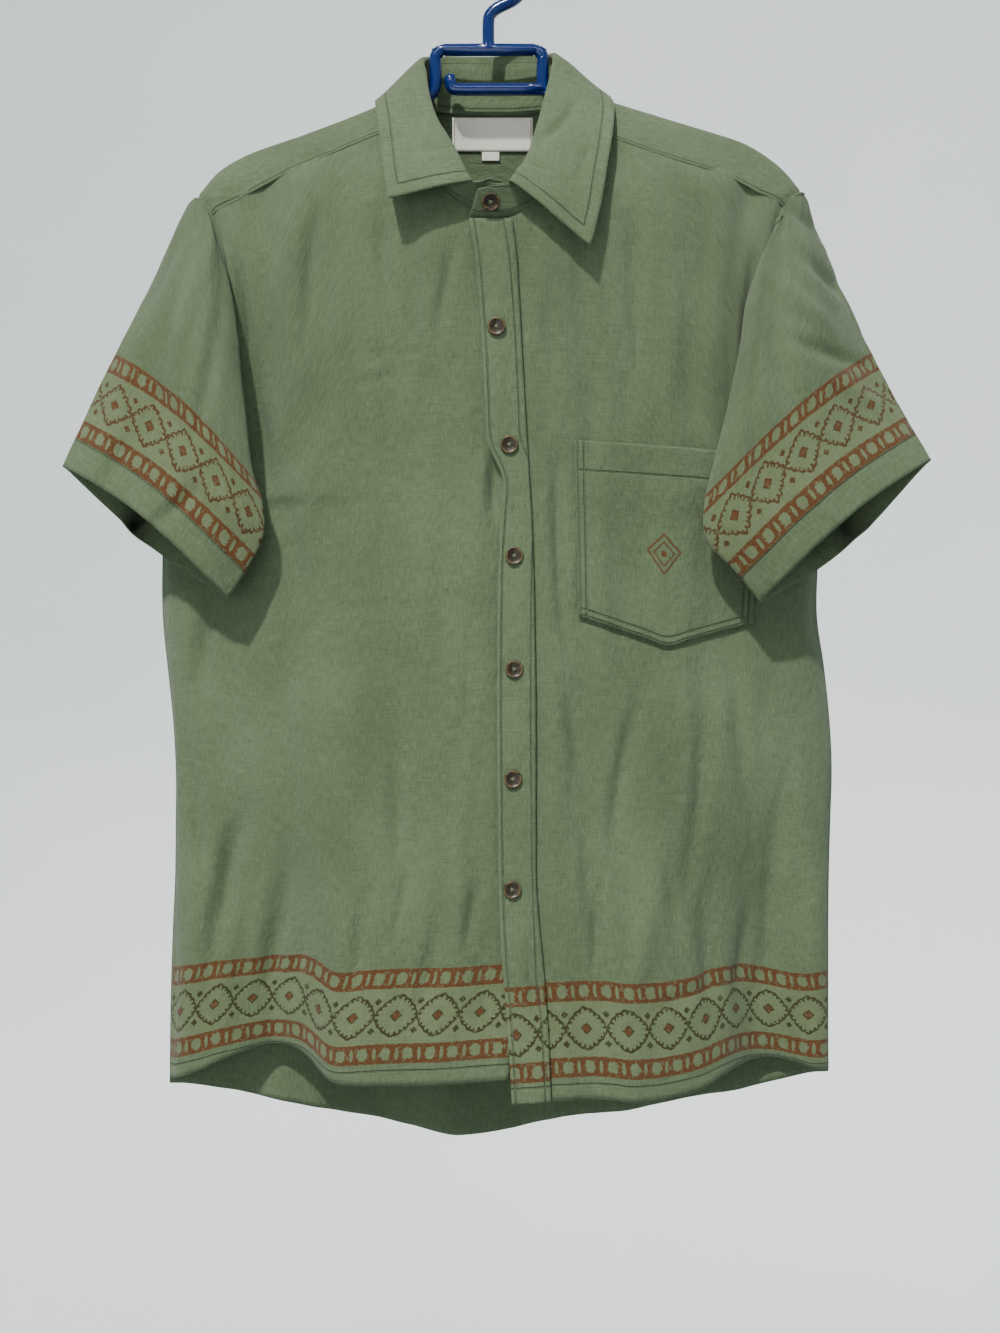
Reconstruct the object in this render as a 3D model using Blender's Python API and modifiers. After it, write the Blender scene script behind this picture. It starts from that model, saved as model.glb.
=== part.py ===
"""A short-sleeve shirt on a plastic clothes hanger, built panel by panel.

The origin is the inside top of the hanger's hook, where the whole thing hangs.
+Z is up, the front faces -Y, and the wearer's left is +X. Sizes here are in
millimetres and become metres where the meshes are made. "right" and "left"
are the wearer's.
"""

import math
from collections import namedtuple

import bmesh
import bpy
from mathutils import Vector

MM = 0.001

# Cloth and seams.
CLOTH = 1.6
LABEL_CLOTH = 1.0
SEAM = 0.6
LAYER = 2.3
SIGN = {"right": -1.0, "left": 1.0}

# Hanger.
TUBE = 4.5
HOOK_RADIUS = 30.0
HOOK_SHIFT = 1.0
STEM_TOP = -66.0
BAR_Z = -86.6
LOOP_HALF = 39.0
LOOP_CORNER = 7.0
REST_Z = -115.5
REST_END = -27.0
ARM_BELOW_RIDGE = 7.0

# Body.
CENTRE_X = 10.0
RIDGE_HEIGHT = 20.0
YOKE_BACK_Z = -213.0
ARMPIT_Z = -428.0
FOLD_EDGE = 25.0
SEAM_CHANGE = 30.0
BODY_CURVE = 1.9
ROUND_WIDTH = 0.07
ROUND_SHARE = 0.28
OUTER_CROWD = 1.6
BACK_CROWD = 1.35
FRONT_COLUMNS = 15
CORNER_COLUMN = 9
BACK_COLUMNS = 20
LOW_ROWS = 11
YOKE_ROWS = 10
YOKE_RIDGE_ROW = 5
YOKE_EDGE_COLUMNS = 3.0
YOKE_FRONT_SHARES = [0.0, 0.09, 0.22, 0.38, 0.56, 0.73, 0.88]
YOKE_BACK_RIGHT = (-201.0, -112.0)
YOKE_BACK_LEFT = (211.0, 122.0)
YOKE_NECK_ENDS = [-100.0, -88.0, -76.0, -54.0, -26.0, 3.0, 32.0, 60.0, 84.0, 98.0, 110.0]
YOKE_NECK_BACK = 0.2
OVER_START = 72.0
OVER_RAMP = 20.0

# Heights of the panel rows beside the armhole, shared by panels and sleeves.
ARMHOLE_ROWS = [-213.6, -224.0, -238.0, -256.0, -282.0, -310.0,
                -338.0, -364.0, -386.0, -404.0, -418.0, -428.0]
FOLD_ROW = {"right": 3, "left": 2}
CORNER_Z = {"right": -211.0, "left": -205.0}

# The line along the top of the shoulders, over the hanger's arms.
RidgePoint = namedtuple("RidgePoint", "x z")
RIDGE = [
    RidgePoint(-216.0, -200.0),
    RidgePoint(-207.0, -188.5),
    RidgePoint(-197.0, -177.5),
    RidgePoint(-186.0, -169.6),
    RidgePoint(-163.0, -160.0),
    RidgePoint(-121.0, -145.0),
    RidgePoint(-87.0, -132.0),
    RidgePoint(-62.0, -122.0),
    RidgePoint(-40.0, -118.0),
    RidgePoint(50.0, -118.0),
    RidgePoint(72.0, -121.0),
    RidgePoint(107.0, -132.0),
    RidgePoint(149.0, -145.0),
    RidgePoint(193.0, -160.0),
    RidgePoint(207.0, -169.5),
    RidgePoint(219.0, -181.5),
    RidgePoint(229.0, -192.0),
]

# Armhole and side seam lines, and the depth of the front and back panels.
Section = namedtuple("Section", "z front_right back_right front_left back_left"
                                " edge_front edge_back mid_front mid_back round")
SECTIONS = [
    Section(-120.0, -216.0, -216.0, 228.0, 228.0, -27, 23, -23, 29, 0.0),
    Section(-150.0, -216.0, -216.0, 228.0, 228.0, -27, 23, -33, 29, 0.0),
    Section(-190.0, -216.0, -216.0, 228.0, 228.0, -27, 23, -50, 29, 0.0),
    Section(-196.0, -210.0, -211.0, 219.0, 221.0, -27, 23, -52, 29, 0.0),
    Section(-203.0, -201.5, -205.0, 211.5, 215.0, -27, 23, -53, 29, 0.0),
    Section(-213.0, -195.5, -201.0, 206.5, 211.0, -28, 23, -54, 29, 0.0),
    Section(-256.0, -187.0, -194.0, 200.0, 205.0, -30, 23, -51, 29, 0.0),
    Section(-300.0, -181.5, -190.0, 196.5, 202.0, -29, 22, -48, 28, 0.0),
    Section(-350.0, -187.0, -195.0, 201.0, 207.0, -24, 19, -45, 28, 0.1),
    Section(-392.0, -208.0, -212.0, 220.0, 223.0, -18, 17, -44, 27, 0.5),
    Section(-417.0, -229.5, -231.5, 237.0, 238.5, -9, 12, -44, 27, 0.8),
    Section(-428.0, -237.0, -237.0, 243.0, 243.0, 3, 3, -44, 27, 1.0),
    Section(-490.0, -239.0, -239.0, 240.0, 240.0, 4, 4, -44, 27, 1.0),
    Section(-550.0, -234.0, -234.0, 247.0, 247.0, 4, 4, -44, 27, 1.0),
    Section(-610.0, -229.0, -229.0, 251.5, 251.5, 4, 4, -44, 27, 1.0),
    Section(-675.0, -229.0, -229.0, 249.5, 249.5, 3, 3, -44, 26, 1.0),
    Section(-750.0, -231.5, -231.5, 248.5, 248.5, 2, 2, -46, 25, 1.0),
    Section(-845.0, -233.0, -233.0, 248.5, 248.5, 1, 1, -50, 24, 1.0),
    Section(-900.0, -233.0, -233.0, 248.5, 248.5, 1, 1, -50, 24, 1.0),
]

# Edges seen from the front, as height against x.
EdgePoint = namedtuple("EdgePoint", "x z")
FRONT_TOP_RIGHT = [
    EdgePoint(-200.0, -213.0),
    EdgePoint(-187.0, -204.5),
    EdgePoint(-160.0, -189.0),
    EdgePoint(-130.0, -176.6),
    EdgePoint(-82.0, -155.0),
    EdgePoint(-64.0, -147.0),
]
NECK_RIGHT = [
    EdgePoint(-64.0, -147.0),
    EdgePoint(-57.0, -164.0),
    EdgePoint(-44.0, -186.0),
    EdgePoint(-27.0, -205.0),
    EdgePoint(-8.0, -218.0),
    EdgePoint(12.0, -223.0),
    EdgePoint(36.0, -224.0),
]
FRONT_TOP_LEFT = [
    EdgePoint(70.0, -148.0),
    EdgePoint(90.0, -157.5),
    EdgePoint(136.6, -174.5),
    EdgePoint(182.7, -188.5),
    EdgePoint(198.0, -196.0),
    EdgePoint(212.0, -206.0),
]
NECK_LEFT = [
    EdgePoint(-20.0, -222.0),
    EdgePoint(12.0, -223.0),
    EdgePoint(28.0, -216.0),
    EdgePoint(44.0, -202.0),
    EdgePoint(58.0, -181.0),
    EdgePoint(66.0, -163.0),
    EdgePoint(70.0, -148.0),
]
HEM_RIGHT = [
    EdgePoint(-233.0, -841.0),
    EdgePoint(-211.0, -832.0),
    EdgePoint(-181.0, -819.0),
    EdgePoint(-150.0, -814.0),
    EdgePoint(-130.0, -819.0),
    EdgePoint(-108.0, -835.0),
    EdgePoint(-62.0, -835.5),
    EdgePoint(12.0, -831.0),
    EdgePoint(40.0, -830.0),
]
HEM_LEFT = [
    EdgePoint(5.0, -848.0),
    EdgePoint(40.0, -845.5),
    EdgePoint(79.0, -844.6),
    EdgePoint(107.0, -846.7),
    EdgePoint(142.0, -844.0),
    EdgePoint(161.0, -836.5),
    EdgePoint(185.0, -827.0),
    EdgePoint(208.0, -826.0),
    EdgePoint(227.0, -829.0),
    EdgePoint(248.5, -833.5),
]
HEM_BACK = [
    EdgePoint(-233.0, -845.0),
    EdgePoint(-170.0, -856.0),
    EdgePoint(-111.0, -870.0),
    EdgePoint(-66.0, -880.0),
    EdgePoint(-18.0, -889.0),
    EdgePoint(23.0, -882.0),
    EdgePoint(68.0, -872.5),
    EdgePoint(113.0, -867.0),
    EdgePoint(187.0, -851.0),
    EdgePoint(248.5, -836.5),
]

# The front opening: the placket's free edge, its seam, and the edge under it.
Opening = namedtuple("Opening", "z free seam under")
OPENING = [
    Opening(-205.0, -13.5, 15.5, 28.0),
    Opening(-222.0, -13.3, 17.0, 28.0),
    Opening(-250.0, -9.0, 20.0, 29.0),
    Opening(-300.0, -5.0, 23.0, 30.0),
    Opening(-345.0, -2.5, 25.5, 31.0),
    Opening(-380.0, -0.5, 27.5, 32.0),
    Opening(-414.0, 11.5, 29.5, 33.0),
    Opening(-440.0, 8.5, 31.0, 33.0),
    Opening(-490.0, 6.8, 32.5, 33.0),
    Opening(-560.0, 6.3, 33.4, 33.0),
    Opening(-690.0, 7.6, 33.8, 33.0),
    Opening(-740.0, 9.5, 38.0, 30.0),
    Opening(-790.0, 13.5, 42.0, 18.0),
    Opening(-850.0, 17.0, 44.5, 13.0),
]

# Large folds: a trough has a positive depth, a ridge a negative one.
Fold = namedtuple("Fold", "x_top x_low z_top z_low width depth_top depth_low")
FRONT_FOLDS = [
    Fold(-166.0, -150.0, -560.0, -850.0, 30.0, 0.0, 27.0),
    Fold(186.0, 204.0, -560.0, -850.0, 32.0, 0.0, 25.0),
    Fold(-155.0, -162.0, -195.0, -440.0, 10.0, 5.0, 2.0),
    Fold(-136.0, -132.0, -190.0, -400.0, 12.0, -4.0, 0.0),
    Fold(186.0, 180.0, -200.0, -400.0, 9.0, 5.0, 1.0),
    Fold(166.0, 150.0, -195.0, -380.0, 12.0, -4.0, 0.0),
    Fold(-60.0, -100.0, -640.0, -850.0, 26.0, 0.0, -5.0),
    Fold(90.0, 112.0, -600.0, -850.0, 30.0, 0.0, -6.0),
]
BACK_FOLDS = [
    Fold(-120.0, -150.0, -260.0, -850.0, 24.0, 2.0, 9.0),
    Fold(-20.0, -24.0, -700.0, -880.0, 10.0, 0.0, 6.0),
    Fold(70.0, 90.0, -320.0, -860.0, 28.0, 1.0, 8.0),
    Fold(170.0, 185.0, -240.0, -850.0, 18.0, 3.0, 7.0),
    Fold(-60.0, -70.0, -500.0, -870.0, 22.0, 0.0, -6.0),
]

# The sleeves: top fold and inner fold, from the armhole to the cuff.
SleeveLine = namedtuple("SleeveLine", "x y z")
SLEEVE_TOP = {
    "right": [
        SleeveLine(-221.0, -6.0, -207.0),
        SleeveLine(-240.0, -13.0, -251.5),
        SleeveLine(-259.5, -20.0, -296.0),
        SleeveLine(-279.5, -27.0, -340.0),
        SleeveLine(-303.0, -34.0, -396.5),
    ],
    "left": [
        SleeveLine(240.0, -8.0, -221.0),
        SleeveLine(256.0, -15.0, -266.0),
        SleeveLine(274.5, -22.0, -311.0),
        SleeveLine(295.5, -28.0, -355.0),
        SleeveLine(315.5, -34.0, -392.0),
    ],
}
SLEEVE_FOLD = {
    "right": [
        SleeveLine(-180.5, -37.0, -285.0),
        SleeveLine(-174.5, -43.0, -335.0),
        SleeveLine(-168.5, -48.0, -386.0),
        SleeveLine(-162.5, -50.0, -415.0),
        SleeveLine(-155.0, -52.0, -437.0),
        SleeveLine(-169.5, -53.0, -470.0),
        SleeveLine(-183.5, -52.0, -490.5),
    ],
    "left": [
        SleeveLine(186.0, -38.0, -271.0),
        SleeveLine(178.5, -44.0, -318.0),
        SleeveLine(168.0, -50.0, -364.0),
        SleeveLine(157.5, -54.0, -407.0),
        SleeveLine(151.5, -55.0, -444.0),
        SleeveLine(174.0, -56.0, -473.0),
        SleeveLine(191.0, -54.0, -494.0),
    ],
}

# A sleeve's depth around the ring, how far the back of the cuff hangs, and how
# far the cloth swings out under the arm.
SleeveShape = namedtuple("SleeveShape", "front_puff back_puff cuff_rise cuff_drop swing")
SLEEVE_SHAPE = {
    "right": SleeveShape(14.0, 18.0, 10.0, 9.0, 12.0),
    "left": SleeveShape(14.0, 18.0, 9.0, 14.0, 12.0),
}
SLEEVE_STEPS = [0.0, 0.035, 0.11, 0.2, 0.3, 0.4, 0.5, 0.6, 0.7, 0.8, 0.9, 1.0]
ARMPIT_SHARE = 0.6
# The sleeve's first ring: how far out at the head, in front and at the armpit.
HEAD_OUT = 4.0
FOLD_OUT = 1.2
ARMPIT_OUT = 3.6
ARMPIT_GAP = 2.5
ARMPIT_FORWARD = 0.15
UNDER_PLACE = 1.5
UNDER_WIDTH = 4.4
UNDER_DROP = 3.0
SLEEVE_LIFT = 3.8
FOLD_FADE = 2.6

# The collar: a station from each front end to the centre back. The seam is on
# the shirt's neck edge, the roll is the fold line and the edge is the leaf's.
Collar = namedtuple("Collar", "seam_x seam_z roll_x roll_y roll_z leaf_x leaf_y leaf_z")
COLLAR_RIGHT = [
    Collar(-26.0, -205.5, -11.0, -61.0, -200.5, -69.0, -66.0, -213.5),
    Collar(-37.0, -194.0, -16.5, -56.0, -189.5, -73.0, -59.0, -193.0),
    Collar(-47.5, -181.0, -25.0, -46.0, -170.5, -75.5, -48.0, -173.0),
    Collar(-56.5, -165.0, -37.0, -30.0, -147.0, -78.5, -36.0, -152.0),
    Collar(-63.5, -147.5, -43.5, -14.0, -122.0, -81.5, -20.0, -134.0),
    Collar(-66.0, -130.0, -45.5, -5.0, -107.0, -82.0, -9.0, -127.5),
    Collar(-65.5, -124.0, -47.0, 4.0, -94.0, -81.0, 3.0, -125.5),
    Collar(-52.0, -126.0, -39.0, 15.0, -87.0, -64.0, 22.0, -131.0),
    Collar(-26.0, -128.0, -20.0, 20.0, -85.0, -34.0, 27.0, -135.0),
]
COLLAR_BACK = Collar(3.0, -129.0, 0.0, 21.5, -84.5, 2.0, 29.0, -137.0)
COLLAR_LEFT = [
    Collar(33.0, -128.0, 21.0, 20.0, -84.5, 38.0, 27.0, -135.0),
    Collar(58.0, -125.0, 39.5, 15.0, -86.0, 70.0, 22.0, -131.0),
    Collar(73.0, -123.5, 47.0, 4.0, -91.0, 86.5, 3.0, -122.0),
    Collar(73.5, -130.0, 46.0, -5.0, -105.0, 89.5, -9.0, -125.5),
    Collar(69.5, -148.5, 43.0, -14.0, -121.0, 91.0, -20.0, -136.0),
    Collar(66.0, -164.0, 35.5, -30.0, -153.0, 88.5, -40.0, -160.0),
    Collar(58.5, -181.0, 27.0, -46.0, -181.5, 83.5, -52.0, -190.0),
    Collar(48.0, -197.5, 20.0, -56.0, -193.0, 78.5, -58.0, -219.0),
    Collar(38.0, -208.0, 14.5, -61.0, -201.5, 71.5, -62.0, -246.0),
]
STAND_END_RIGHT = [
    Collar(20.0, -219.0, 13.0, -53.5, -201.0, 0.0, 0.0, 0.0),
    Collar(-1.0, -220.0, 4.0, -57.0, -196.5, 0.0, 0.0, 0.0),
]
STAND_END_LEFT = [
    Collar(15.0, -221.0, 3.0, -62.5, -203.5, 0.0, 0.0, 0.0),
    Collar(-13.0, -221.5, -7.0, -62.5, -206.0, 0.0, 0.0, 0.0),
]
FALL_ROWS = 6
FALL_PUFF = 3.0
FALL_LIFT = 3.2
ROLL_OUT = 3.4
ROLL_GAP = 1.7
STAND_GAP = 2.0

# The pocket, from the wearer's right top corner round.
PocketEdge = namedtuple("PocketEdge", "share top_z low_z")
POCKET = [
    PocketEdge(0.0, -379.0, -503.5),
    PocketEdge(0.5, -382.5, -524.5),
    PocketEdge(1.0, -387.0, -508.0),
]
POCKET_INNER_X = 61.5
POCKET_OUTER_X = 190.0
POCKET_CELLS = 8
POCKET_OUT = 2.7

# Buttons, neck label and size tab.
BUTTON_RADIUS = 6.4
BUTTON_THICK = 2.8
ButtonPlace = namedtuple("ButtonPlace", "x z")
BUTTONS = [
    ButtonPlace(6.0, -300.0),
    ButtonPlace(15.0, -382.5),
    ButtonPlace(18.5, -461.0),
    ButtonPlace(18.5, -541.0),
    ButtonPlace(17.5, -618.5),
    ButtonPlace(17.0, -696.5),
]
STAND_BUTTON_BACK = 0.62
STAND_BUTTON_SEAT = 0.8
LABEL_WIDTH = 60.0
LABEL_TOP = -131.0
LABEL_LOW = -155.0
LABEL_X = 3.0
TAB_WIDTH = 13.0
TAB_LOW = -161.5
TAB_X = 1.5

Look = namedtuple("Look", "name colour roughness")
CLOTH_LOOK = Look("sage cotton", (0.14, 0.19, 0.105, 1.0), 0.9)
HANGER_LOOK = Look("navy plastic", (0.004, 0.02, 0.13, 1.0), 0.25)
BUTTON_LOOK = Look("brown horn button", (0.06, 0.03, 0.015, 1.0), 0.35)
LABEL_LOOK = Look("cream tape", (0.6, 0.58, 0.5, 1.0), 0.8)


def mix(low, high, share):
    return low + (high - low) * share


def clamp(value, low=0.0, high=1.0):
    return max(low, min(high, value))


def ease(share):
    share = clamp(share)
    return share * share * (3.0 - 2.0 * share)


def read(rows, key, name, at):
    """Read a column of a table at a place on its key column, on a smooth curve."""
    points = sorted((getattr(row, key), getattr(row, name)) for row in rows)
    if at <= points[0][0]:
        return points[0][1]
    if at >= points[-1][0]:
        return points[-1][1]
    last = len(points) - 1
    place = next(n for n in range(last) if at <= points[n + 1][0])
    slopes = []
    for n in (place, place + 1):
        before = points[max(n - 1, 0)]
        after = points[min(n + 1, last)]
        rise = (after[1] - before[1]) / (after[0] - before[0])
        if 0 < n < last:
            down = (points[n][1] - before[1]) / (points[n][0] - before[0])
            up = (after[1] - points[n][1]) / (after[0] - points[n][0])
            if down * up <= 0.0:
                rise = 0.0
            else:
                rise = math.copysign(min(abs(rise), 3 * abs(down), 3 * abs(up)), rise)
        slopes.append(rise)
    x0, y0 = points[place]
    x1, y1 = points[place + 1]
    span = x1 - x0
    t = (at - x0) / span
    return ((2 * t ** 3 - 3 * t ** 2 + 1) * y0 + (t ** 3 - 2 * t ** 2 + t) * span * slopes[0]
            + (3 * t ** 2 - 2 * t ** 3) * y1 + (t ** 3 - t ** 2) * span * slopes[1])


def ridge_z(x):
    return read(RIDGE, "x", "z", x)


def outline_x(face, side, z):
    """The armhole line, then the side seam, of the front or back panel."""
    return read(SECTIONS, "z", face + "_" + side, z)


def fold_depth(folds, x, z):
    total = 0.0
    for fold in folds:
        down = (fold.z_top - z) / (fold.z_top - fold.z_low)
        if down < -0.15 or down > 1.15:
            continue
        centre = mix(fold.x_top, fold.x_low, down)
        depth = mix(fold.depth_top, fold.depth_low, ease(down))
        fade = ease((down + 0.15) / 0.15) * ease((1.15 - down) / 0.15)
        total += depth * fade * math.exp(-((x - centre) / fold.width) ** 2)
    return total


def body_y(face, x, z):
    """Depth of the front or back of the shirt, rounded over the shoulder ridge."""
    side = "right" if x < CENTRE_X else "left"
    edge_x = outline_x(face, side, z)
    share = clamp((x - edge_x) / (CENTRE_X - edge_x))
    round_amount = read(SECTIONS, "z", "round", z) * ROUND_SHARE
    near = clamp(share / ROUND_WIDTH)
    profile = round_amount * math.sqrt(1.0 - (1.0 - near) ** 2)
    profile += (1.0 - round_amount) * (1.0 - (1.0 - share) ** BODY_CURVE)
    depth = mix(read(SECTIONS, "z", "edge_" + face, z), read(SECTIONS, "z", "mid_" + face, z), profile)
    folds = FRONT_FOLDS if face == "front" else BACK_FOLDS
    away_from_edge = ease(abs(x - edge_x) / FOLD_EDGE)
    depth += fold_depth(folds, x, z) * away_from_edge * (1.0 if face == "front" else -1.0)
    drop = max(0.0, ridge_z(x) - z)
    return depth * (1.0 - math.exp(-math.sqrt(drop / RIDGE_HEIGHT)))


def body_point(face, x, z, out=0.0):
    """A point of the panel, moved out along its outward direction."""
    step = 1.0
    y = body_y(face, x, z)
    if out == 0.0:
        return Vector((x, y, z))
    along_x = Vector((2 * step, body_y(face, x + step, z) - body_y(face, x - step, z), 0.0))
    along_z = Vector((0.0, body_y(face, x, z + step) - body_y(face, x, z - step), 2 * step))
    outward = along_x.cross(along_z).normalized()
    if (outward.y > 0.0) == (face == "front"):
        outward.negate()
    return Vector((x, y, z)) + outward * out


def shoulder_point(x, sigma, out=0.0):
    """A point of the yoke: sigma is under 0 in front of the ridge and over 0 behind it."""
    face = "front" if sigma < 0.0 else "back"
    z = ridge_z(x) - sigma * sigma
    point = Vector((x, body_y(face, x, z), z))
    if out:
        lean = clamp(abs(sigma) / 5.0)
        away = Vector((0.0, math.copysign(lean, sigma), 1.0 - lean))
        point += away.normalized() * out
    return point


def armhole_x(face, side, sigma):
    """Where the armhole line crosses the yoke at a place down from the ridge."""
    x = outline_x(face, side, -200.0)
    for _ in range(12):
        x = mix(x, outline_x(face, side, ridge_z(x) - sigma * sigma), 0.6)
    return x


def settle(rows, start, line):
    """Solve x = line(z), z = edge(x) for the end of a column."""
    x = start
    for _ in range(14):
        x = mix(x, line(read(rows, "x", "z", x)), 0.6)
    return x


def front_top(side, x):
    if side == "right":
        rows = FRONT_TOP_RIGHT if x < FRONT_TOP_RIGHT[-1].x else NECK_RIGHT
    else:
        rows = FRONT_TOP_LEFT if x > FRONT_TOP_LEFT[0].x else NECK_LEFT
    return read(rows, "x", "z", x)


def over_layer(side, x):
    """The left front lies on the right one at the opening."""
    return LAYER * ease((OVER_START - x) / OVER_RAMP) if side == "left" else 0.0


def row_height(row, top, low):
    """Height of a row of a panel: shared rows beside the armhole, then even ones to the hem."""
    beside = len(ARMHOLE_ROWS) - 1
    if row <= beside:
        share = (ARMHOLE_ROWS[row] - ARMPIT_Z) / (ARMHOLE_ROWS[0] - ARMPIT_Z)
        return mix(ARMPIT_Z, top, share)
    return mix(ARMPIT_Z, low, (row - beside) / LOW_ROWS)


def panel_rows():
    return len(ARMHOLE_ROWS) - 1 + LOW_ROWS


def front_grid(side, columns):
    """Points of a front panel, a list for each column from the outside to the opening."""
    sign = SIGN[side]
    inner_name = "under" if side == "right" else "free"
    corner_x = FRONT_TOP_RIGHT[-1].x if side == "right" else FRONT_TOP_LEFT[0].x
    outer_top = outline_x("front", side, CORNER_Z[side])
    inner_top = read(OPENING, "z", inner_name, -222.0)
    corner_share = (corner_x - outer_top) / (inner_top - outer_top)
    corner_column = round(columns * CORNER_COLUMN / FRONT_COLUMNS)
    hem = HEM_RIGHT if side == "right" else HEM_LEFT
    grid = []
    for column in range(columns + 1):
        if column <= corner_column:
            share = corner_share * (column / corner_column) ** OUTER_CROWD
        else:
            share = mix(corner_share, 1.0, (column - corner_column) / (columns - corner_column))

        def line(z, share=share):
            outer = outline_x("front", side, min(z, CORNER_Z[side]))
            return mix(outer, read(OPENING, "z", inner_name, z), share)

        x_top = line(-213.0)
        for _ in range(14):
            x_top = mix(x_top, line(front_top(side, x_top)), 0.6)
        top = front_top(side, x_top) - SEAM
        low = read(hem, "x", "z", settle(hem, line(-840.0), line))
        points = []
        for row in range(panel_rows() + 1):
            z = row_height(row, top, low)
            x = line(z)
            y = body_y("front", x, z) - over_layer(side, x)
            if column == 0:
                seam = ease((ARMPIT_Z + SEAM_CHANGE - z) / SEAM_CHANGE)
                x -= sign * SEAM * (1.0 - seam)
                y -= SEAM * 1.1 * seam
            points.append(Vector((x, y, z)))
        grid.append(points)
    return grid


def back_grid(columns):
    grid = []
    for column in range(columns + 1):
        place = column / columns * 2.0 - 1.0
        share = 0.5 + 0.5 * math.copysign(1.0 - (1.0 - abs(place)) ** BACK_CROWD, place)

        def line(z, share=share):
            return mix(outline_x("back", "right", z), outline_x("back", "left", z), share)

        top = ARMHOLE_ROWS[0]
        low = read(HEM_BACK, "x", "z", settle(HEM_BACK, line(-860.0), line))
        points = []
        for row in range(panel_rows() + 1):
            z = row_height(row, top, low)
            x = line(z)
            y = body_y("back", x, z)
            if column in (0, columns):
                seam = ease((ARMPIT_Z + SEAM_CHANGE - z) / SEAM_CHANGE)
                x += SEAM * (1.0 - seam) * (1.0 if column == 0 else -1.0)
                y += SEAM * 1.1 * seam
            points.append(Vector((x, y, z)))
        grid.append(points)
    return grid


def collar_stations():
    return COLLAR_RIGHT + [COLLAR_BACK] + COLLAR_LEFT


def seam_sigma(station):
    """How far before or behind the ridge a collar station's seam lies."""
    drop = math.sqrt(max(0.0, ridge_z(station.seam_x) - station.seam_z))
    return drop if station.roll_y > 3.0 else -drop


def yoke_grid(rows):
    """The yoke, from the front seams and the neck edge over the ridge to the back seam."""
    starts = []
    edge = outline_x("front", "right", CORNER_Z["right"])
    for share in YOKE_FRONT_SHARES:
        x = mix(edge, FRONT_TOP_RIGHT[-1].x, share)
        z = read(FRONT_TOP_RIGHT, "x", "z", x) + SEAM
        starts.append((x, -math.sqrt(ridge_z(x) - z), mix(*YOKE_BACK_RIGHT, share)))
    neck = collar_stations()[4:-4]
    spots = seam_places(neck)
    ends = [Vector((x_end, 0.0, 0.0)) for x_end in YOKE_NECK_ENDS]
    cells = 2 * (len(spots) - 1)
    for cell in range(cells + 1):
        spot = through(spots, cell / 2)
        away = YOKE_NECK_BACK if 2 < cell < cells - 2 else 0.0
        if cell in (0, cells):
            spot.y = -math.sqrt(spot.y ** 2 - 2.5 * SEAM)
        starts.append((spot.x, spot.y + away, through(ends, cell / 2).x))
    edge = outline_x("front", "left", CORNER_Z["left"])
    for share in reversed(YOKE_FRONT_SHARES):
        x = mix(edge, FRONT_TOP_LEFT[0].x, share)
        z = read(FRONT_TOP_LEFT, "x", "z", x) + SEAM
        starts.append((x, -math.sqrt(ridge_z(x) - z), mix(*YOKE_BACK_LEFT, share)))
    grid = []
    last = len(starts) - 1
    for column, (x_start, sigma_start, x_end) in enumerate(starts):
        points = []
        sigma_end = math.sqrt(ridge_z(x_end) - YOKE_BACK_Z - SEAM)
        for row in range(rows + 1):
            share = row / rows
            sigma = mix(sigma_start, sigma_end, share)
            x = mix(x_start, x_end, share)
            for side, first, away in (("right", starts[0], column), ("left", starts[last], last - column)):
                near = away / YOKE_EDGE_COLUMNS
                if near < 1.0:
                    face = "front" if sigma < 0.0 else "back"
                    bulge = armhole_x(face, side, sigma) - mix(first[0], first[2], share)
                    x += (bulge - SIGN[side] * SEAM) * (1.0 - near)
            points.append(shoulder_point(x, sigma))
        grid.append(points)
    return grid


def armhole_ring(side):
    """The armhole: from the ridge down the front, under the arm and up the back."""
    yoke = yoke_grid(YOKE_ROWS)[0 if side == "right" else -1]
    top = front_top(side, outline_x("front", side, CORNER_Z[side])) - SEAM
    heights = [row_height(row, top, 0.0) for row in range(len(ARMHOLE_ROWS))]
    front = [Vector((outline_x("front", side, z), 0.0, z)) for z in heights]
    back = [Vector((outline_x("back", side, z), 0.0, z)) for z in ARMHOLE_ROWS]
    for face, line in (("front", front), ("back", back)):
        for point in line:
            point.y = body_y(face, point.x, point.z)
    over_front = [Vector(point) for point in reversed(yoke[1:YOKE_RIDGE_ROW + 1])]
    over_back = [Vector(point) for point in reversed(yoke[YOKE_RIDGE_ROW + 1:-1])]
    for point in over_front + over_back:
        point.x += SIGN[side] * SEAM
    points = over_front + front + back[-2::-1] + over_back
    outward = []
    count = len(points)
    middle = Vector((SIGN[side] * 120.0, 0.0, -320.0))
    for number in range(count):
        run = points[(number + 1) % count] - points[number - 1]
        across = Vector((run.z, 0.0, -run.x))
        if across.dot(points[number] - middle) < 0.0 or abs(run.z) < 0.5 * abs(run.x):
            across = Vector((SIGN[side] * abs(run.z), 0.0, -abs(run.x)))
        if number < len(over_front) or number == len(over_front) + len(ARMHOLE_ROWS) - 1:
            across = Vector((SIGN[side], -0.2, -0.35))
        elif number >= count - len(over_back):
            across = Vector((SIGN[side], 0.2, -0.35))
        across.x = SIGN[side] * max(abs(across.x), 0.3 * abs(across.z), 0.1)
        outward.append(across.normalized())
    return points, outward, len(over_front)


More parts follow.
